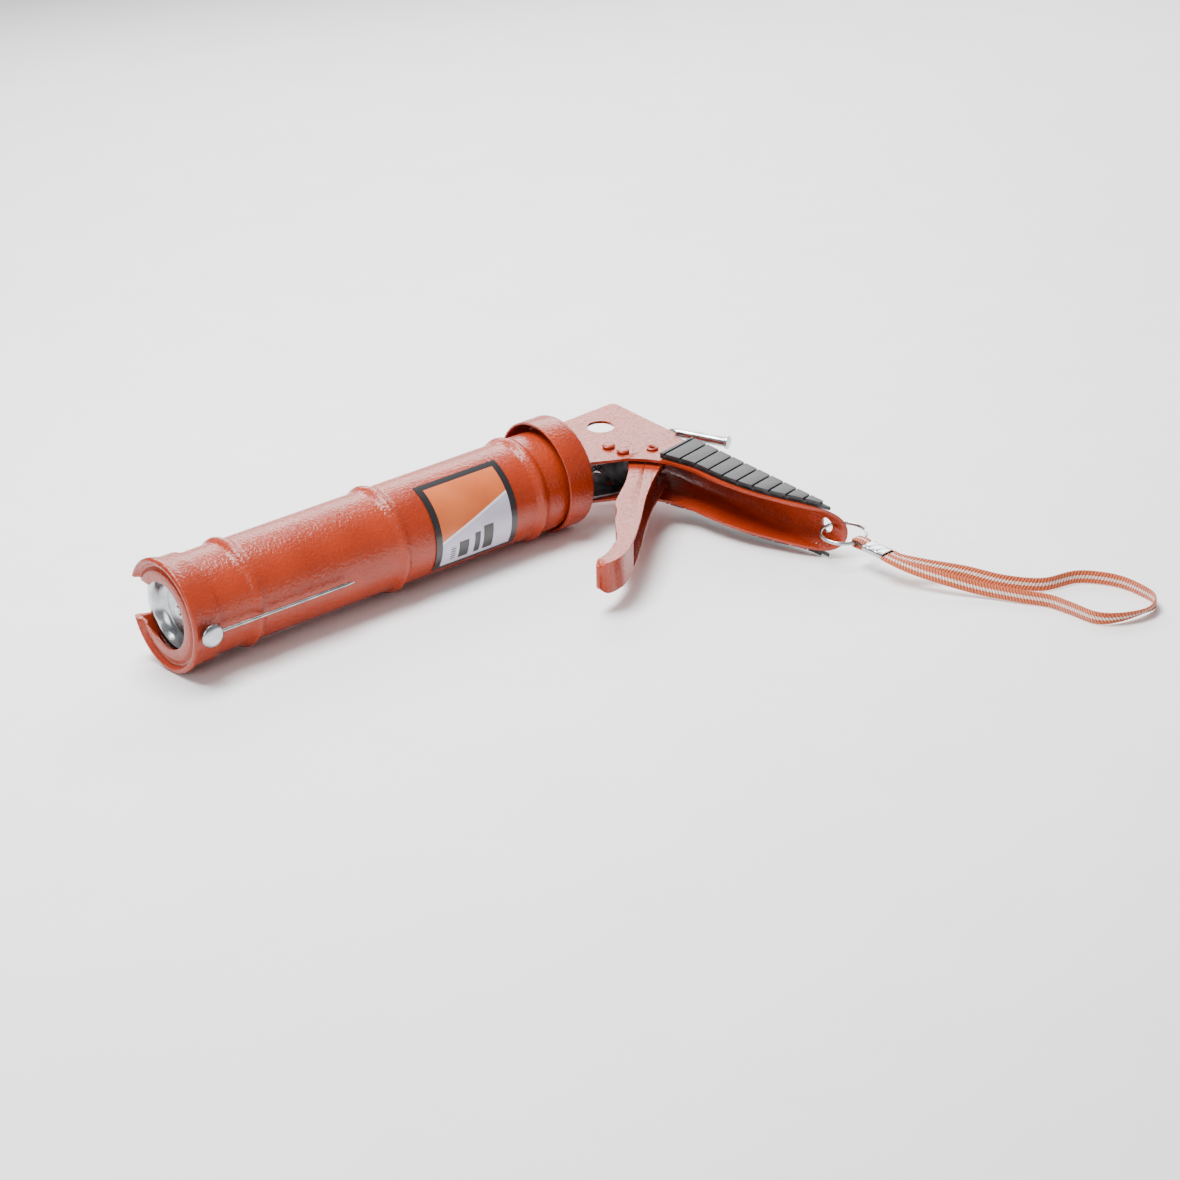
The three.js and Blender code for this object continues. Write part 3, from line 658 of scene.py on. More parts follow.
# %% [markdown]
# ## Folded sheet, from the frame itself
# The frame, the trigger and the brackets already have their true shape as CAD nodes, but with razor
# edges. A copy of such a node is merged into one skin, its flat faces are made whole again, and a
# bevel rounds each edge as a press and a coat of paint do. Normals weighted by area keep the flat
# faces flat beside those soft edges. The node stays hidden behind the copy.

# %% Refined copies
NODE_SEAM = 2e-3
SAME_FLAT = math.radians(0.4)
AREA_WEIGHT = 72


def skin(node, whole_flats=False):
    """A copy of a node in the gun's own axes as one skin, and if asked with its flat faces made whole."""
    mesh = frame["nodes"][node].data.copy()
    mesh.transform(from_table)
    with editing(mesh) as shape:
        bmesh.ops.remove_doubles(shape, verts=shape.verts, dist=NODE_SEAM)
        if whole_flats:
            bmesh.ops.dissolve_limit(
                shape, angle_limit=SAME_FLAT, verts=shape.verts, edges=shape.edges, delimit=set())
    return mesh


def finish_refined(node, name, width, finish, body="frame", segments=2, first=None):
    mesh = skin(node, whole_flats=True)
    if first is not None:
        mesh = first(mesh)
    mesh = with_modifiers(mesh, rounded_edges(width, segments))
    shade(mesh)
    mesh = with_modifiers(mesh, ("WEIGHTED_NORMAL", {"weight": AREA_WEIGHT, "keep_sharp": True}))
    return finish_piece(name, mesh, body, finish, [node], corner=None)


FINGER_SIDE = Vector((0.7, -0.7, 0))
CHEEK_OUT = 8.5
FRONT_ROUND = 2.0


def round_trigger_front(mesh):
    """The long edges where the trigger's cheeks turn into its finger side, rounded by the press."""
    with editing(mesh) as shape:
        shape.normal_update()
        edges = []
        for edge in shape.edges:
            if len(edge.link_faces) != 2:
                continue
            cheek, front = sorted((face.normal for face in edge.link_faces), key=lambda n: -abs(n.z))
            meets = abs(cheek.z) > 0.9 and abs(front.z) < 0.2 and front.dot(FINGER_SIDE) > 0.3
            if meets and abs(edge.verts[0].co.z) > CHEEK_OUT:
                edges.append(edge)
        print("front edges rounded", len(edges))
        bmesh.ops.bevel(
            shape, geom=edges, offset=FRONT_ROUND, segments=5, affect="EDGES", profile=0.5,
            clamp_overlap=True)
    return mesh


finish_refined("frame", "folded_frame", 0.35, PAINT, segments=3)
finish_refined("trigger", "pressed_trigger", 0.45, PAINT, "trigger", first=round_trigger_front)
for node, name, width, finish, body in (
    ("mount_bracket", "bent_bracket", 0.25, STEEL, "frame"),
    ("guide_bush", "rod_bush", 0.3, ZINC, "frame"),
    ("rod_bulkhead", "spring_stop", 0.2, STEEL, "frame"),
    ("drive_plate", "hardened_drive_plate", 0.3, STEEL, "drive_plate"),
    ("catch_plate", "release_catch", 0.3, ZINC, "catch_plate"),
    ("piston_nut", "rod_nut", 0.25, ZINC, "rod"),
    ("piston_washer", "rod_washer", 0.2, ZINC, "rod"),
    ("wire_washer", "spacing_washer", 0.1, ZINC, "barrel"),
    ("puncture_wire", "piercing_wire", 0.1, DRAWN_ZINC, "puncture_wire"),
):
    finish_refined(node, name, width, finish, body)
print("triangles so far", triangles())

# %% [markdown]
# ## Rivets
# Four button rivets hold the head together, so one profile is made once and a tree puts a copy at each
# place. The other side's rivets are the same, turned over. The trigger's hollow pivot, the catch's
# pin and the wire's rivet are turned one by one.

# %% Rivets
def repeat_tree():
    """A copy of a shape at every point: the shape comes in as the holder's mesh, the points as a line."""
    tree, given = start_tree("repeat_at_points", Start_X=0.0, Start_Y=0.0, Step_X=1.0, Step_Y=0.0, Count=2)
    line = add(tree, "GeometryNodeMeshLine", {
        "Count": given["Count"], "Start Location": vector(tree, X=given["Start X"], Y=given["Start Y"]),
        "Offset": vector(tree, X=given["Step X"], Y=given["Step Y"]),
    })
    copies = add(tree, "GeometryNodeInstanceOnPoints", {
        "Points": line.outputs["Mesh"], "Instance": given["Geometry"],
    })
    return end_tree(tree, copies.outputs["Instances"], given["Finish"])


repeat_at_points = repeat_tree()


def button_rivets(side):
    """Both rivets of one side: a shank, and a low head with a soft crown."""
    (low, high), (next_low, next_high) = (reach(f"bracket_rivet_{side}_{index}") for index in (1, 2))
    way = 1 if side == "left" else -1
    inner, outer = (low.z, high.z) if way > 0 else (-high.z, -low.z)
    radius = (high.x - low.x) / 2
    shank = [(inner, 0), (inner, 2), (outer - 1.7, 2)]
    head = [(outer - 1.7, radius - 0.2), (outer - 1.5, radius), (outer - 0.9, radius),
            (outer - 0.45, radius - 0.3), (outer - 0.1, radius - 1.0), (outer, 1.2), (outer, 0)]
    rivet = turned("rivet", [(way * station, spread) for station, spread in shank + head], 36, "Z")
    first, second = (low + high) / 2, (next_low + next_high) / 2
    return run_tree(repeat_at_points, PAINT, rivet, Start_X=first.x, Start_Y=first.y,
                    Step_X=second.x - first.x, Step_Y=second.y - first.y, Count=2)


for side in ("left", "right"):
    finish_piece(f"button_rivets_{side}", button_rivets(side), "frame", PAINT,
                 [f"bracket_rivet_{side}_1", f"bracket_rivet_{side}_2"])


def hollow_pivot():
    low, high = reach("trigger_pivot")
    outer, top = (high.x - low.x) / 2, high.z
    half = [(top - 1, 2.5), (top - 1, outer - 0.15), (top - 0.8, outer), (top - 0.45, outer),
            (top - 0.1, outer - 0.4), (top, outer - 0.9), (top - 0.25, 1.75), (top - 0.8, 1.35)]
    profile = [(-station, radius) for station, radius in reversed(half)] + half
    return turned("hollow_pivot", profile, 40, "Z", TRIGGER_PIVOT)


def catch_pin():
    low, high = reach("catch_pin")
    profile = [(low.z, 0), (low.z, 1.1), (low.z + 0.4, 1.6),
               (high.z - 0.4, 1.6), (high.z, 1.1), (high.z, 0)]
    return turned("catch_pin", profile, 32, "Z", ((low.x + high.x) / 2, (low.y + high.y) / 2, 0))


def wire_rivet():
    low, high = reach("wire_rivet")
    shoulder = high.y - 2.5
    tail = [(0, 0), (0, 2.9), (0.3, 3.1), (0.8, 3.1), (0.8, 2)]
    head = [(0, 2), (0, 5.5), (0.25, 5.9), (0.7, 6), (1.1, 5.8), (1.6, 5.0), (2.05, 3.7), (2.4, 1.9)]
    profile = [*((low.y + along, radius) for along, radius in tail),
               *((shoulder + along, radius) for along, radius in head), (high.y, 0)]
    return turned("wire_rivet", profile, 64, "Y", ((low.x + high.x) / 2, 0, (low.z + high.z) / 2))


finish_piece("hollow_trigger_pivot", hollow_pivot(), "frame", PAINT, ["trigger_pivot"])
finish_piece("painted_catch_pin", catch_pin(), "frame", PAINT, ["catch_pin"])
finish_piece("domed_rivet", wire_rivet(), "barrel", ZINC, ["wire_rivet"])

# %% [markdown]
# ## Coils
# Two springs and the split ring are all wire wound round an axis, so one tree makes all three: a
# spiral with its turns, radius and length, swept with a round section and capped. The split ring is
# only a very short spring of two turns.

# %% Springs and split ring
RING_WIRE = 0.7
RING_TURNS = 1.93
RING_LENGTH = 1.04
RING_GAP_TURN = 2.4


def coil_tree():
    tree, given = start_tree("wound_wire", Turns=5.0, Radius=5.0, Length=10.0, Wire=0.5, Steps=40, Sides=12)
    spiral = add(tree, "GeometryNodeCurveSpiral", {
        "Resolution": given["Steps"], "Rotations": given["Turns"], "Start Radius": given["Radius"],
        "End Radius": given["Radius"], "Height": given["Length"],
    })
    section = add(tree, "GeometryNodeCurvePrimitiveCircle", {
        "Resolution": given["Sides"], "Radius": given["Wire"],
    })
    swept = add(tree, "GeometryNodeCurveToMesh", {
        "Curve": spiral.outputs["Curve"], "Profile Curve": section.outputs["Curve"], "Fill Caps": True,
    })
    return end_tree(tree, swept.outputs["Mesh"], given["Finish"])


wound_wire = coil_tree()


def spring(node, wire, turns):
    low, high = reach(node)
    radius = (high.y - low.y) / 2 - wire
    mesh = run_tree(wound_wire, STEEL, Turns=turns, Radius=radius, Length=high.x - low.x - 2 * wire,
                    Wire=wire, Steps=36, Sides=12)
    mesh.transform(Matrix.Translation((low.x + wire, 0, 0)) @ Matrix.Rotation(math.pi / 2, 4, "Y"))
    return sewn(mesh)


def split_ring():
    low, high = reach("split_ring")
    centre = (low + high) / 2
    mesh = run_tree(wound_wire, ZINC, Turns=RING_TURNS, Radius=(high.x - low.x) / 2 - RING_WIRE,
                    Length=RING_LENGTH, Wire=RING_WIRE, Steps=72, Sides=14)
    stand = Matrix.Translation((centre.x, centre.y, -RING_LENGTH / 2))
    mesh.transform(stand @ Matrix.Rotation(RING_GAP_TURN, 4, "Z"))
    return sewn(mesh)


for node, wire, turns in (("drive_spring", 0.7, 5.0), ("catch_spring", 0.6, 4.0)):
    finish_piece(f"wound_{node}", spring(node, wire, turns), "frame", STEEL, [node])
ring = finish_piece("double_ring", split_ring(), "frame", ZINC, ["split_ring"])
print("ring", [round(value, 4) for value in ring.dimensions])

# %% [markdown]
# ## Push rod
# The rod is one bar bent at its end to make a handle. A press grips it beside the bend, which leaves a
# few flats there. It is a round section swept along a line with a tight arc, and the section is pinched
# over the gripped stretch. A small upset head closes the far end.

# %% Push rod
ROD_RADIUS = 2.75
BEND_START = Vector((-321.5, 0, 0))
BEND_CORNER = Vector((-327.2, 0.2, 0))
BEND_END = Vector((-329.4, 5.4, 0))
LEG_END = Vector((-340.5, 30, 0))
STUD_RADIUS = 2.2
STUD_FOOT = -15.2
STRAIGHT_START, STRAIGHT_LENGTH, STRAIGHT_STEPS = -20, 295, 13
GRIPPED_START, GRIPPED_LENGTH, GRIPPED_STEPS = -315.5, 5.6, 8
PINCH = 0.14
BEND_STEPS = 12
BEND_THINNING = 0.05
HEAD_REACH = 0.8
HEAD = ((0.0, 3.0), (0.15, 3.45), (0.4, 3.6), (1.25, 3.6), (1.5, 3.45), (1.65, 3.0))


def line_axes(line, index):
    """The way a line runs at one of its points, the level way to its side, and up from both."""
    way = (line[min(index + 1, len(line) - 1)] - line[max(index - 1, 0)]).normalized()
    side = way.cross(Vector((0, 0, 1))).normalized()
    return way, side, side.cross(way)


def swept(name, centres, sections):
    """A skin through rings of points: each section is a list of (side, up) offsets at its centre."""
    corners = []
    for index, (centre, section) in enumerate(zip(centres, sections)):
        _, side, up = line_axes(centres, index)
        corners += [centre + side * a + up * b for a, b in section]
    count = len(sections[0])
    caps = [tuple(range(count)), tuple(range(len(corners) - count, len(corners)))]
    return sewn(mesh_from(name, corners, caps + ring_faces(len(centres), count)), FINE_SEAM)


def round_section(radius, sides=32, pinch=0.0):
    """A circle, or with some pinch a circle whose four quarters are pressed flat."""
    section = []
    for step in range(sides):
        turn = 2 * math.pi * step / sides
        flat = 1 - pinch * max(0.0, math.cos(4 * turn))
        section.append((radius * flat * math.cos(turn), radius * flat * math.sin(turn)))
    return section


def push_rod():
    centres, sections = [], []

    def put(place, radius, pinch=0.0):
        centres.append(place)
        sections.append(round_section(radius, pinch=pinch))

    tip = reach("push_rod")[1].x
    stud = ((tip, 1.9), (tip - 0.4, STUD_RADIUS), (STUD_FOOT, STUD_RADIUS), (STUD_FOOT - 0.05, 2.4))
    for station, radius in (*stud, (STUD_FOOT - 0.5, ROD_RADIUS)):
        put(Vector((station, 0, 0)), radius)
    for step in range(STRAIGHT_STEPS + 1):
        put(Vector((STRAIGHT_START - STRAIGHT_LENGTH * step / STRAIGHT_STEPS, 0, 0)), ROD_RADIUS)
    for step in range(GRIPPED_STEPS + 1):
        share = step / GRIPPED_STEPS
        place = Vector((GRIPPED_START - GRIPPED_LENGTH * step / GRIPPED_STEPS, 0, 0))
        put(place, ROD_RADIUS, PINCH * math.sin(math.pi * share) ** 0.5)
    for step in range(BEND_STEPS + 1):
        t = step / BEND_STEPS
        bent = BEND_START.lerp(BEND_CORNER, t).lerp(BEND_CORNER.lerp(BEND_END, t), t)
        put(bent, ROD_RADIUS * (1 - BEND_THINNING * math.sin(math.pi * t)))
    leg = (LEG_END - BEND_END).normalized()
    head = LEG_END - leg * HEAD_REACH
    put(head - leg * 0.25, ROD_RADIUS)
    for along, radius in HEAD:
        put(head + leg * along, radius)
    return swept("push_rod", centres, sections)


rod = finish_piece("bent_push_rod", push_rod(), "rod", DRAWN_ZINC, ["push_rod"], corner=math.radians(28))
print("rod", len(rod.data.polygons), "faces")

# %% [markdown]
# ## Ribbed grip pads
# Each pad is a moulded rubber plate with a row of slanted ribs. The ribs repeat, so a tree lays a row
# of bars along the pad, makes them real and keeps only what lies inside the pad's outline, with a
# boolean. The thin plate under them is added back, and a bevel softens every edge.

# %% Grip pads
PAD_PLATE = 1.9
RIB_PITCH = 10.1
RIB_GAP = 1.5
RIB_COUNT = 11
RIB_SLANT = 0.2
RIB_LENGTH = 60.0
RIB_HEIGHT = 8.0
RIBS_X = -297.0
RIBS_BEFORE = 0.08 * RIB_PITCH


def ribs_tree():
    """A row of bars, cut to the outline that comes in."""
    tree, given = start_tree(
        "slanted_ribs", Start_X=0.0, Start_Y=0.0, Pitch=10.0, Thickness=8.5, Height=1.5, Level=14.0,
        Slant=0.2, Count=10)
    line = add(tree, "GeometryNodeMeshLine", {
        "Count": given["Count"], "Offset": vector(tree, Y=given["Pitch"]),
        "Start Location": vector(tree, X=given["Start X"], Y=given["Start Y"], Z=given["Level"]),
    })
    bar = add(tree, "GeometryNodeMeshCube", {
        "Size": vector(tree, X=RIB_LENGTH, Y=given["Thickness"], Z=given["Height"]),
    })
    row = add(tree, "GeometryNodeInstanceOnPoints", {
        "Points": line.outputs["Mesh"], "Instance": bar.outputs["Mesh"],
        "Rotation": vector(tree, Z=given["Slant"]),
    })
    real = add(tree, "GeometryNodeRealizeInstances", {"Geometry": row.outputs["Instances"]})
    cut = add(tree, "GeometryNodeMeshBoolean", {"Mesh 2": real.outputs["Geometry"]}, operation="INTERSECT")
    tree.links.new(given["Geometry"], cut.inputs["Mesh 2"])
    return end_tree(tree, cut.outputs["Mesh"], given["Finish"])


slanted_ribs = ribs_tree()


def pad_outline(node):
    """The pad's outline in the gun's own axes: the rim of its lowest flat face."""
    with editing(skin(node)) as shape:
        base = min(abs(vertex.co.z) for vertex in shape.verts)
        lows = [face for face in shape.faces if all(abs(abs(v.co.z) - base) < 0.02 for v in face.verts)]
        rim = [edge for face in lows for edge in face.edges
               if sum(other in lows for other in edge.link_faces) == 1]
        links = {}
        for edge in rim:
            for vertex in edge.verts:
                links.setdefault(vertex, []).append(edge.other_vert(vertex))
        walk = [rim[0].verts[0]]
        while ahead := [vertex for vertex in links[walk[-1]] if vertex not in walk]:
            walk.append(ahead[0])
        outline = [(vertex.co.x, vertex.co.y) for vertex in walk]
    return outline, base


def grip_pad(side):
    node = f"grip_pad_{side}"
    outline, base = pad_outline(node)
    low, high = reach(node)
    top = max(abs(low.z), abs(high.z))
    ribs = run_tree(
        slanted_ribs, RUBBER, prism("pad", outline, base + 0.4, top), Start_X=RIBS_X,
        Start_Y=low.y - RIBS_BEFORE, Pitch=RIB_PITCH, Thickness=RIB_PITCH - RIB_GAP, Height=RIB_HEIGHT,
        Level=top, Slant=RIB_SLANT, Count=RIB_COUNT)
    ribs = with_modifiers(sewn(ribs), rounded_edges(0.45, 3))
    plate = with_modifiers(prism("plate", outline, base, base + PAD_PLATE), rounded_edges(0.35, 2))
    both = joined("pad", ribs, plate)
    if side == "right":
        both.transform(Matrix.Scale(-1, 4, (0, 0, 1)))
        both.flip_normals()
    return both


for side in ("left", "right"):
    pad = finish_piece(f"ribbed_pad_{side}", grip_pad(side), "frame", RUBBER, [f"grip_pad_{side}"])
    print(pad.name, len(pad.data.polygons), "faces")

# %% [markdown]
# ## Label
# The label is a film wrapped on the barrel. Its print is drawn by nodes from its own UV map, which
# runs 0 to 1 along and around it: a dark border, an orange field with a slanting edge, a pale field and
# a few plain bars. The bars stand for the small print and say nothing.

# %% Label
label_low, label_high = reach("label")
LABEL_RADIUS = 26.95
LABEL_START, LABEL_END = -38, 73
LABEL_STEPS = 60
LABEL_HALF_THICKNESS = 0.13
LABEL_FIELD = ((0.075, 0.055), (0.925, 0.93))
LABEL_BARS = (((0.30, 0.10), (0.42, 0.38)), ((0.46, 0.10), (0.53, 0.34)), ((0.60, 0.10), (0.72, 0.30)))
LABEL_LINES = ((0.76, 0.10), (0.82, 0.27))


def label_sheet():
    """A curved sheet with its print's coordinates, closed at its edges."""
    mesh = bpy.data.meshes.new("label")
    with editing(mesh) as shape:
        rows = []
        for radius in (LABEL_RADIUS + LABEL_HALF_THICKNESS, LABEL_RADIUS - LABEL_HALF_THICKNESS):
            for step in range(LABEL_STEPS + 1):
                turn = math.radians(LABEL_START + (LABEL_END - LABEL_START) * step / LABEL_STEPS)
                across, up = radius * math.cos(turn), radius * math.sin(turn)
                rows.append([shape.verts.new((x, across, up)) for x in (label_low.x, label_high.x)])
        count = LABEL_STEPS + 1
        pairs = [(i, i + 1) for i in range(LABEL_STEPS)] + [(i + 1, i) for i in range(count, 2 * count - 1)]
        pairs += [(LABEL_STEPS, 2 * count - 1), (count, 0)]
        for first, second in pairs:
            shape.faces.new((*rows[first], *reversed(rows[second])))
        for end in (0, 1):
            edge = [row[end] for row in rows]
            shape.faces.new(edge[:count] + edge[count:][::-1])
        bmesh.ops.recalc_face_normals(shape, faces=shape.faces)
        layer = shape.loops.layers.uv.new("print")
        span = math.radians(LABEL_END - LABEL_START)
        for loop in (loop for face in shape.faces for loop in face.loops):
            place = loop.vert.co
            turn = math.atan2(place.z, place.y) - math.radians(LABEL_START)
            loop[layer].uv = ((place.x - label_low.x) / (label_high.x - label_low.x), turn / span)
    return mesh


def map_axes(tree, layer):
    """The two numbers of a UV map."""
    uv = add(tree, "ShaderNodeUVMap", uv_map=layer).outputs["UV"]
    apart = add(tree, "ShaderNodeSeparateXYZ", {"Vector": uv})
    return apart.outputs["X"], apart.outputs["Y"]


def inside_box(tree, along, around, low, high):
    """One inside a rectangle of the print, nought outside."""
    calc = partial(math_node, tree)
    tests = [(along, "GREATER_THAN", low[0]), (along, "LESS_THAN", high[0]),
             (around, "GREATER_THAN", low[1]), (around, "LESS_THAN", high[1])]
    result = 1.0
    for value, test, edge in tests:
        result = calc("MULTIPLY", result, calc(test, value, edge))
    return result


def painted(tree, factor, below, above):
    node = add(tree, "ShaderNodeMix", data_type="RGBA")
    for index, value in ((0, factor), (6, below), (7, above)):
        if isinstance(value, bpy.types.NodeSocket):
            tree.links.new(value, node.inputs[index])
        else:
            node.inputs[index].default_value = value if index == 0 else (*value, 1)
    return node.outputs[2]


def make_label_film():
    material, tree, shader = start_material("label_film", Roughness=0.28, Coat_Weight=0.25)
    along, around = map_axes(tree, "print")
    calc = partial(math_node, tree)
    pale = ramp(tree, grain(tree, 0.02), (0.3, (0.50, 0.48, 0.60)), (0.7, (0.58, 0.56, 0.68)))
    slant = calc("MULTIPLY_ADD", along, -0.34, 0.66)
    orange_side = calc("GREATER_THAN", around, slant)
    stripe = calc("COMPARE", around, slant, 0.012)
    inks = ramp(tree, grain(tree, 0.015), (0.3, (0.56, 0.115, 0.03)), (0.7, (0.66, 0.155, 0.042)))
    color = painted(tree, orange_side, pale, inks)
    color = painted(tree, stripe, color, (0.8, 0.8, 0.82))
    for low, high in LABEL_BARS:
        color = painted(tree, inside_box(tree, along, around, low, high), color, (0.02, 0.02, 0.022))
    fine = calc("FRACT", calc("MULTIPLY", around, 34))
    lines = calc("MULTIPLY", calc("LESS_THAN", fine, 0.55),
                      inside_box(tree, along, around, *LABEL_LINES))
    color = painted(tree, lines, color, (0.05, 0.05, 0.055))
    field = inside_box(tree, along, around, *LABEL_FIELD)
    color = painted(tree, field, (0.016, 0.016, 0.018), color)
    surface(tree, shader, color, relief=[(grain(tree, 0.0016), 0.00004)])
    return material


FILM = ("label_film", make_label_film())
label = finish_piece("printed_label", label_sheet(), "barrel", FILM, ["label"])
print("label", [round(value, 4) for value in label.dimensions])

# %% [markdown]
# ## Wrist strap
# The strap is a flat woven band, 6.2 mm wide. Its two ends leave the ferrule flat, one on the other.
# A quarter twist in each run, the same way round, stands the loop on its edge on the table. The band
# is a section swept along its line while it leans by a chosen angle at each point. A UV map runs along
# it in millimetres, so the weave follows every bend.

# %% Strap
BAND_WIDTH = 6.2
BAND_THICKNESS = 1.15
BAND_STEPS = 14
# Each point: its place in metres, and how far the band leans up from lying flat, in degrees.
STRAP_ROUTE = [
    (-0.1425, 0.1176, 0.0126, -8), (-0.1428, 0.1232, 0.0119, -14), (-0.1493, 0.1353, 0.0098, -30),
    (-0.1597, 0.1522, 0.0072, -46), (-0.1677, 0.1709, 0.005, -58), (-0.1796, 0.1863, 0.0038, -68),
    (-0.1982, 0.1927, 0.0036, -76), (-0.207, 0.2097, 0.0036, -85), (-0.2065, 0.2277, 0.0036, -92),
    (-0.2021, 0.2399, 0.0036, -92), (-0.191, 0.2441, 0.0036, -50), (-0.177, 0.2407, 0.0036, -66),
    (-0.1686, 0.2325, 0.0036, -92), (-0.1684, 0.2157, 0.0036, -98), (-0.1678, 0.2021, 0.0036, -104),
    (-0.162, 0.1877, 0.0038, -110), (-0.1546, 0.1693, 0.0047, -118), (-0.1474, 0.1534, 0.0072, -130),
    (-0.1413, 0.1353, 0.0098, -148), (-0.1384, 0.1232, 0.0119, -166), (-0.1383, 0.1176, 0.0126, -172),
]


def smooth_line(points, steps):
    """A smooth line through points, with the same number of steps between each pair."""
    padded = [2 * points[0] - points[1], *points, 2 * points[-1] - points[-2]]
    line = []
    for a, b, c, d in zip(padded, padded[1:], padded[2:], padded[3:]):
        for step in range(steps):
            t = step / steps
            line.append(0.5 * (2 * b + (c - a) * t + (2 * a - 5 * b + 4 * c - d) * t**2
                               + (3 * b - a - 3 * c + d) * t**3))
    line.append(points[-1])
    return line


strap_points = smooth_line([Vector(point) for point in STRAP_ROUTE], BAND_STEPS)
strap_line = [point.to_3d() for point in strap_points]


def rounded_section(half_width, half_height, sides, powers):
    """A flat section with round edges: the lower its two powers, the squarer."""
    return [(half_width * math.copysign(abs(cos) ** powers[0], cos),
             half_height * math.copysign(abs(sin) ** powers[1], sin)) for cos, sin in circle(sides)]


def leaning(line, leans):
    """The band's broad way at each point of its line."""
    broads = []
    for index, lean in enumerate(math.radians(lean) for lean in leans):
        _, side, up = line_axes(line, index)
        broads.append(side * math.cos(lean) + up * math.sin(lean))
    return broads


def woven_band(name, line, broads, width, thickness):
    """The band's skin with its weave's coordinates: along in millimetres, across from 0 to 1."""
    section = rounded_section(width / 2, thickness / 2, 20, (0.6, 0.75))
    sides = len(section)
    mesh = bpy.data.meshes.new(name)
    with editing(mesh) as shape:
        layer = shape.loops.layers.uv.new("weave")
        verts, places, length = [], [], 0.0
        for index, (centre, broad) in enumerate(zip(line, broads)):
            thin = line_axes(line, index)[0].cross(broad)
            verts += [shape.verts.new(centre + broad * a + thin * b) for a, b in section]
            if index:
                length += (centre - line[index - 1]).length
            places += [(length * 1000, a / width + 0.5) for a, _ in section]
        for corners in ring_faces(len(line), sides):
            face = shape.faces.new([verts[corner] for corner in corners])
            for loop, corner in zip(face.loops, corners):
                loop[layer].uv = places[corner]
        for ring in (verts[:sides], verts[-sides:]):
            for loop in shape.faces.new(ring).loops:
                loop[layer].uv = (0, 0.5)
        bmesh.ops.recalc_face_normals(shape, faces=shape.faces)
    return mesh


def make_webbing():
    material, tree, shader = start_material("strap_webbing", Sheen_Weight=0.35, Specular_IOR_Level=0.25)
    along, across = map_axes(tree, "weave")
    calc = partial(math_node, tree)
    middle = calc("ABSOLUTE", calc("SUBTRACT", across, 0.5))
    twill_place = calc("MULTIPLY_ADD", along, 0.6, calc("MULTIPLY", across, 1.9))
    twill = calc("SINE", calc("MULTIPLY", twill_place, 2 * math.pi))
    weft = calc("SINE", calc("MULTIPLY", along, 2 * math.pi * 0.9))
    fuzz = grain(tree, 0.0003, detail=3)
    thread = calc("MULTIPLY_ADD", twill, 0.32, calc("MULTIPLY_ADD", fuzz, 0.5, 0.25))
    orange = ramp(tree, thread, (0.1, (0.26, 0.032, 0.007)), (0.5, (0.56, 0.105, 0.03)),
                  (0.95, (0.76, 0.20, 0.07)))
    white = ramp(tree, thread, (0.1, (0.50, 0.22, 0.14)), (0.65, (0.88, 0.74, 0.68)))
    edge = calc("MULTIPLY_ADD", twill, 0.03, 0.12)
    color = painted(tree, calc("LESS_THAN", middle, edge), orange, white)
    ridges = calc("MULTIPLY_ADD", twill, 0.3, calc("MULTIPLY_ADD", weft, 0.15, 0.5))
    surface(tree, shader, color, number(tree, fuzz, 0.7, 0.95), [(ridges, 0.0006), (fuzz, 0.00015)])
    return material


WEBBING = ("strap_webbing", make_webbing())

# %% [markdown]
# A woven band's edges aren't smooth: each weft thread turns back there in a tiny loop. A tree sets a
# bead of thread at each turn along both edges, following the edge's direction.

# %% The band's looped edges
LOOP_PITCH = 0.0011
LOOP_RADIUS = 0.00042
LOOP_STRETCH = 1.25
LOOP_INSET = 0.97


def edge_loops_tree():
    tree, given = start_tree("edge_loops", Pitch=0.001, Bead=0.0005, Long=1.2)
    line = add(tree, "GeometryNodeMeshToCurve", {"Mesh": given["Geometry"]})
    points = add(tree, "GeometryNodeCurveToPoints", {
        "Curve": line.outputs["Curve"], "Length": given["Pitch"],
    }, mode="LENGTH")
    bead = add(tree, "GeometryNodeMeshIcoSphere", {"Radius": given["Bead"], "Subdivisions": 2})
    copies = add(tree, "GeometryNodeInstanceOnPoints", {
        "Points": points.outputs["Points"], "Instance": bead.outputs["Mesh"],
        "Rotation": points.outputs["Rotation"], "Scale": vector(tree, X=0.75, Y=0.9, Z=given["Long"]),
    })
    return end_tree(tree, copies.outputs["Instances"], given["Finish"])


def looped_edge(tree, reach_out):
    """The thread loops along one edge of the band, which is reach_out metres from its middle."""
    points = [centre + broad * reach_out for centre, broad in zip(strap_line, strap_broads)]
    line = mesh_from("edge", points, [], [(i, i + 1) for i in range(len(points) - 1)])
    return run_tree(tree, WEBBING, line, Pitch=LOOP_PITCH, Bead=LOOP_RADIUS, Long=LOOP_STRETCH)


edge_loops = edge_loops_tree()
strap_broads = leaning(strap_line, [point[3] for point in strap_points])
band = woven_band("band", strap_line, strap_broads, BAND_WIDTH / 1000, BAND_THICKNESS / 1000)
edges = [looped_edge(edge_loops, way * BAND_WIDTH / 2000 * LOOP_INSET) for way in (-1, 1)]
print("edge loops", [len(edge.vertices) for edge in edges])
strap = finish_piece("woven_strap", joined("strap", band, *edges), "frame", WEBBING, ["wrist_strap"],
                     corner=SOFT_CORNER, matrix=Matrix.Identity(4))
print("strap", len(strap.data.polygons), "faces")

# %% [markdown]
# ## Ferrule and tail
# A short metal sleeve is crimped over both ends of the band, and beyond it a little fold of the same
# band goes round the ring. The sleeve is a flattened tube, swept along its length with two crimps and
# flared mouths, then given a wall.

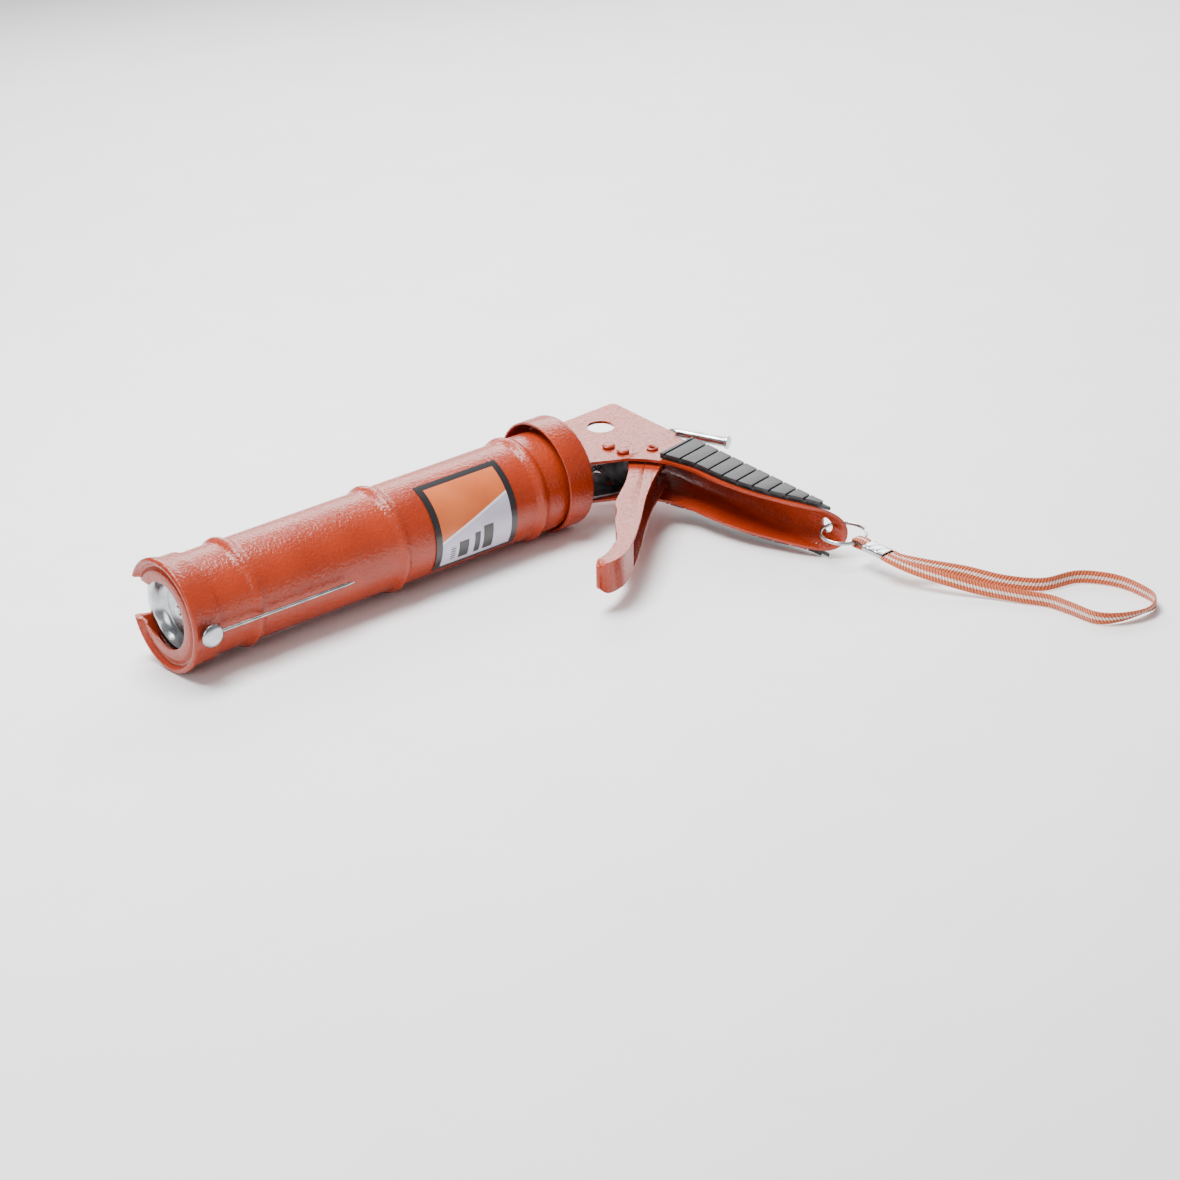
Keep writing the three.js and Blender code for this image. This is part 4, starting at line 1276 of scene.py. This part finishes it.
# %% Ferrule and tail
ferrule_low, ferrule_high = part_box("strap_ferrule")
tail_low, tail_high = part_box("strap_tail")
FERRULE_WALL = 0.00045
FERRULE_HALF_WIDTH = 0.0044
FERRULE_HALF_HEIGHT = 0.00195
FERRULE_INSET = 0.0001
FERRULE_DROP = 0.0021
FERRULE_STATIONS = 24
FERRULE_SIDES = 40
CRIMPS = (0.3, 0.7)
CRIMP_SPREAD = 0.05
TAIL_WIDTH = 0.0058
TAIL_THICKNESS = 0.00095
TAIL_STEPS = 6


def sleeve():
    x = (ferrule_low[0] + ferrule_high[0]) / 2
    start = Vector((x, ferrule_low[1] + FERRULE_INSET, ferrule_high[2] - FERRULE_DROP))
    end = Vector((x, ferrule_high[1] - FERRULE_INSET, ferrule_low[2] + FERRULE_DROP))
    side = Vector((1, 0, 0))
    up = side.cross((end - start).normalized())
    corners = []
    for index in range(FERRULE_STATIONS + 1):
        share = index / FERRULE_STATIONS
        flare = 0.05 * (abs(share - 0.5) * 2) ** 8
        crimp = 0.13 * sum(math.exp(-((share - place) / CRIMP_SPREAD) ** 2) for place in CRIMPS)
        wide = FERRULE_HALF_WIDTH * (1 + flare * 0.5)
        tall = FERRULE_HALF_HEIGHT * (1 + flare - crimp)
        corners += [start.lerp(end, share) + side * a + up * b
                    for a, b in rounded_section(wide, tall, FERRULE_SIDES, (0.55, 0.55))]
    shell = mesh_from("sleeve", corners, ring_faces(FERRULE_STATIONS + 1, FERRULE_SIDES))
    face = shell.polygons[10]
    if face.normal.dot(face.center - start.lerp(end, 0.5)) < 0:
        shell.flip_normals()
    return thickened(shell, FERRULE_WALL)


def tail_line():
    """Out of the ferrule, over the ring's wire, round it and back in."""
    x = (tail_low[0] + tail_high[0]) / 2
    middle = (tail_low[2] + tail_high[2]) / 2
    tall = (tail_high[2] - tail_low[2]) / 2 - 0.0006
    back, front = tail_low[1] + 0.0006, tail_high[1] + 0.0016
    turn = 0.0018
    sides = [Vector((x, front, middle + 0.0006)), Vector((x, front - 0.0022, middle + tall * 0.75)),
             Vector((x, front - 0.0045, middle + tall))]
    fold = [Vector((x, back + turn - turn * math.cos(a), middle + tall * math.sin(a)))
            for a in (1.2, 0.8, 0.4, 0.0, -0.4, -0.8, -1.2)]
    lower = [Vector((point.x, point.y, 2 * middle - point.z)) for point in reversed(sides)]
    return smooth_line([*sides, *fold, *lower], TAIL_STEPS)


ferrule = finish_piece("crimped_ferrule", sleeve(), "frame", ZINC, ["strap_ferrule"],
                       matrix=Matrix.Identity(4))
fold_line = tail_line()
# The fold's band is broad across its line all the way, and thin towards the ring.
fold = woven_band("tail", fold_line, [Vector((1, 0, 0))] * len(fold_line), TAIL_WIDTH, TAIL_THICKNESS)
tail = finish_piece("folded_tail", fold, "frame", WEBBING, ["strap_tail"],
                    corner=SOFT_CORNER, matrix=Matrix.Identity(4))
print("ferrule", [round(value, 4) for value in ferrule.dimensions])

# %% [markdown]
# ## Floor and light
# The gun lies on a plain pale table in a bright, soft studio. A wide panel overhead draws the long
# highlight along the barrel, a long low one behind the gun glances off its flat plates, a small one
# from the camera's left fills the front, and the white world keeps every shadow open.

# %% Floor and lights
FLOOR_HALF_SIZE = 3.0
WORLD_STRENGTH = 0.32


def add_floor():
    a = FLOOR_HALF_SIZE
    mesh = mesh_from("floor", [(-a, -a, 0), (a, -a, 0), (a, a, 0), (-a, a, 0)], [(0, 1, 2, 3)])
    material, tree, shader = start_material("pale_table", Roughness=0.6, Specular_IOR_Level=0.2)
    patches = grain(tree, 0.05, detail=4)
    surface(tree, shader, ramp(tree, patches, (0.3, (0.93, 0.93, 0.93)), (0.7, (0.96, 0.96, 0.96))))
    mesh.materials.append(material)
    place_object("floor", mesh)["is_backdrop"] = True


def add_panel(name, place, width, height, power):
    """A soft panel light that faces the gun's middle; its place is in the table's axes, in metres."""
    data = bpy.data.lights.new(name, "AREA")
    data.shape = "RECTANGLE"
    data.size, data.size_y, data.energy = width, height, power
    way = ((cad_box[0] + cad_box[1]) / 2 - Vector(place)).normalized()
    turn = way.to_track_quat("-Z", "Y").to_matrix().to_4x4()
    place_object(name, data).matrix_world = Matrix.Translation(place) @ turn


def add_world(strength):
    world = bpy.data.worlds.new("studio")
    world.use_nodes = True
    background = world.node_tree.nodes["Background"]
    background.inputs["Color"].default_value = (1, 1, 1, 1)
    background.inputs["Strength"].default_value = strength
    bpy.context.scene.world = world


add_floor()
add_world(WORLD_STRENGTH)
add_panel("overhead", (0.1, -0.2, 1.1), width=0.8, height=0.5, power=33)
add_panel("low_back", (-0.75, -1.0, 0.72), width=1.5, height=0.6, power=25)
add_panel("front_fill", (1.1, 0.5, 0.55), width=0.6, height=0.6, power=5)

# %% Finish
print("triangles", triangles())
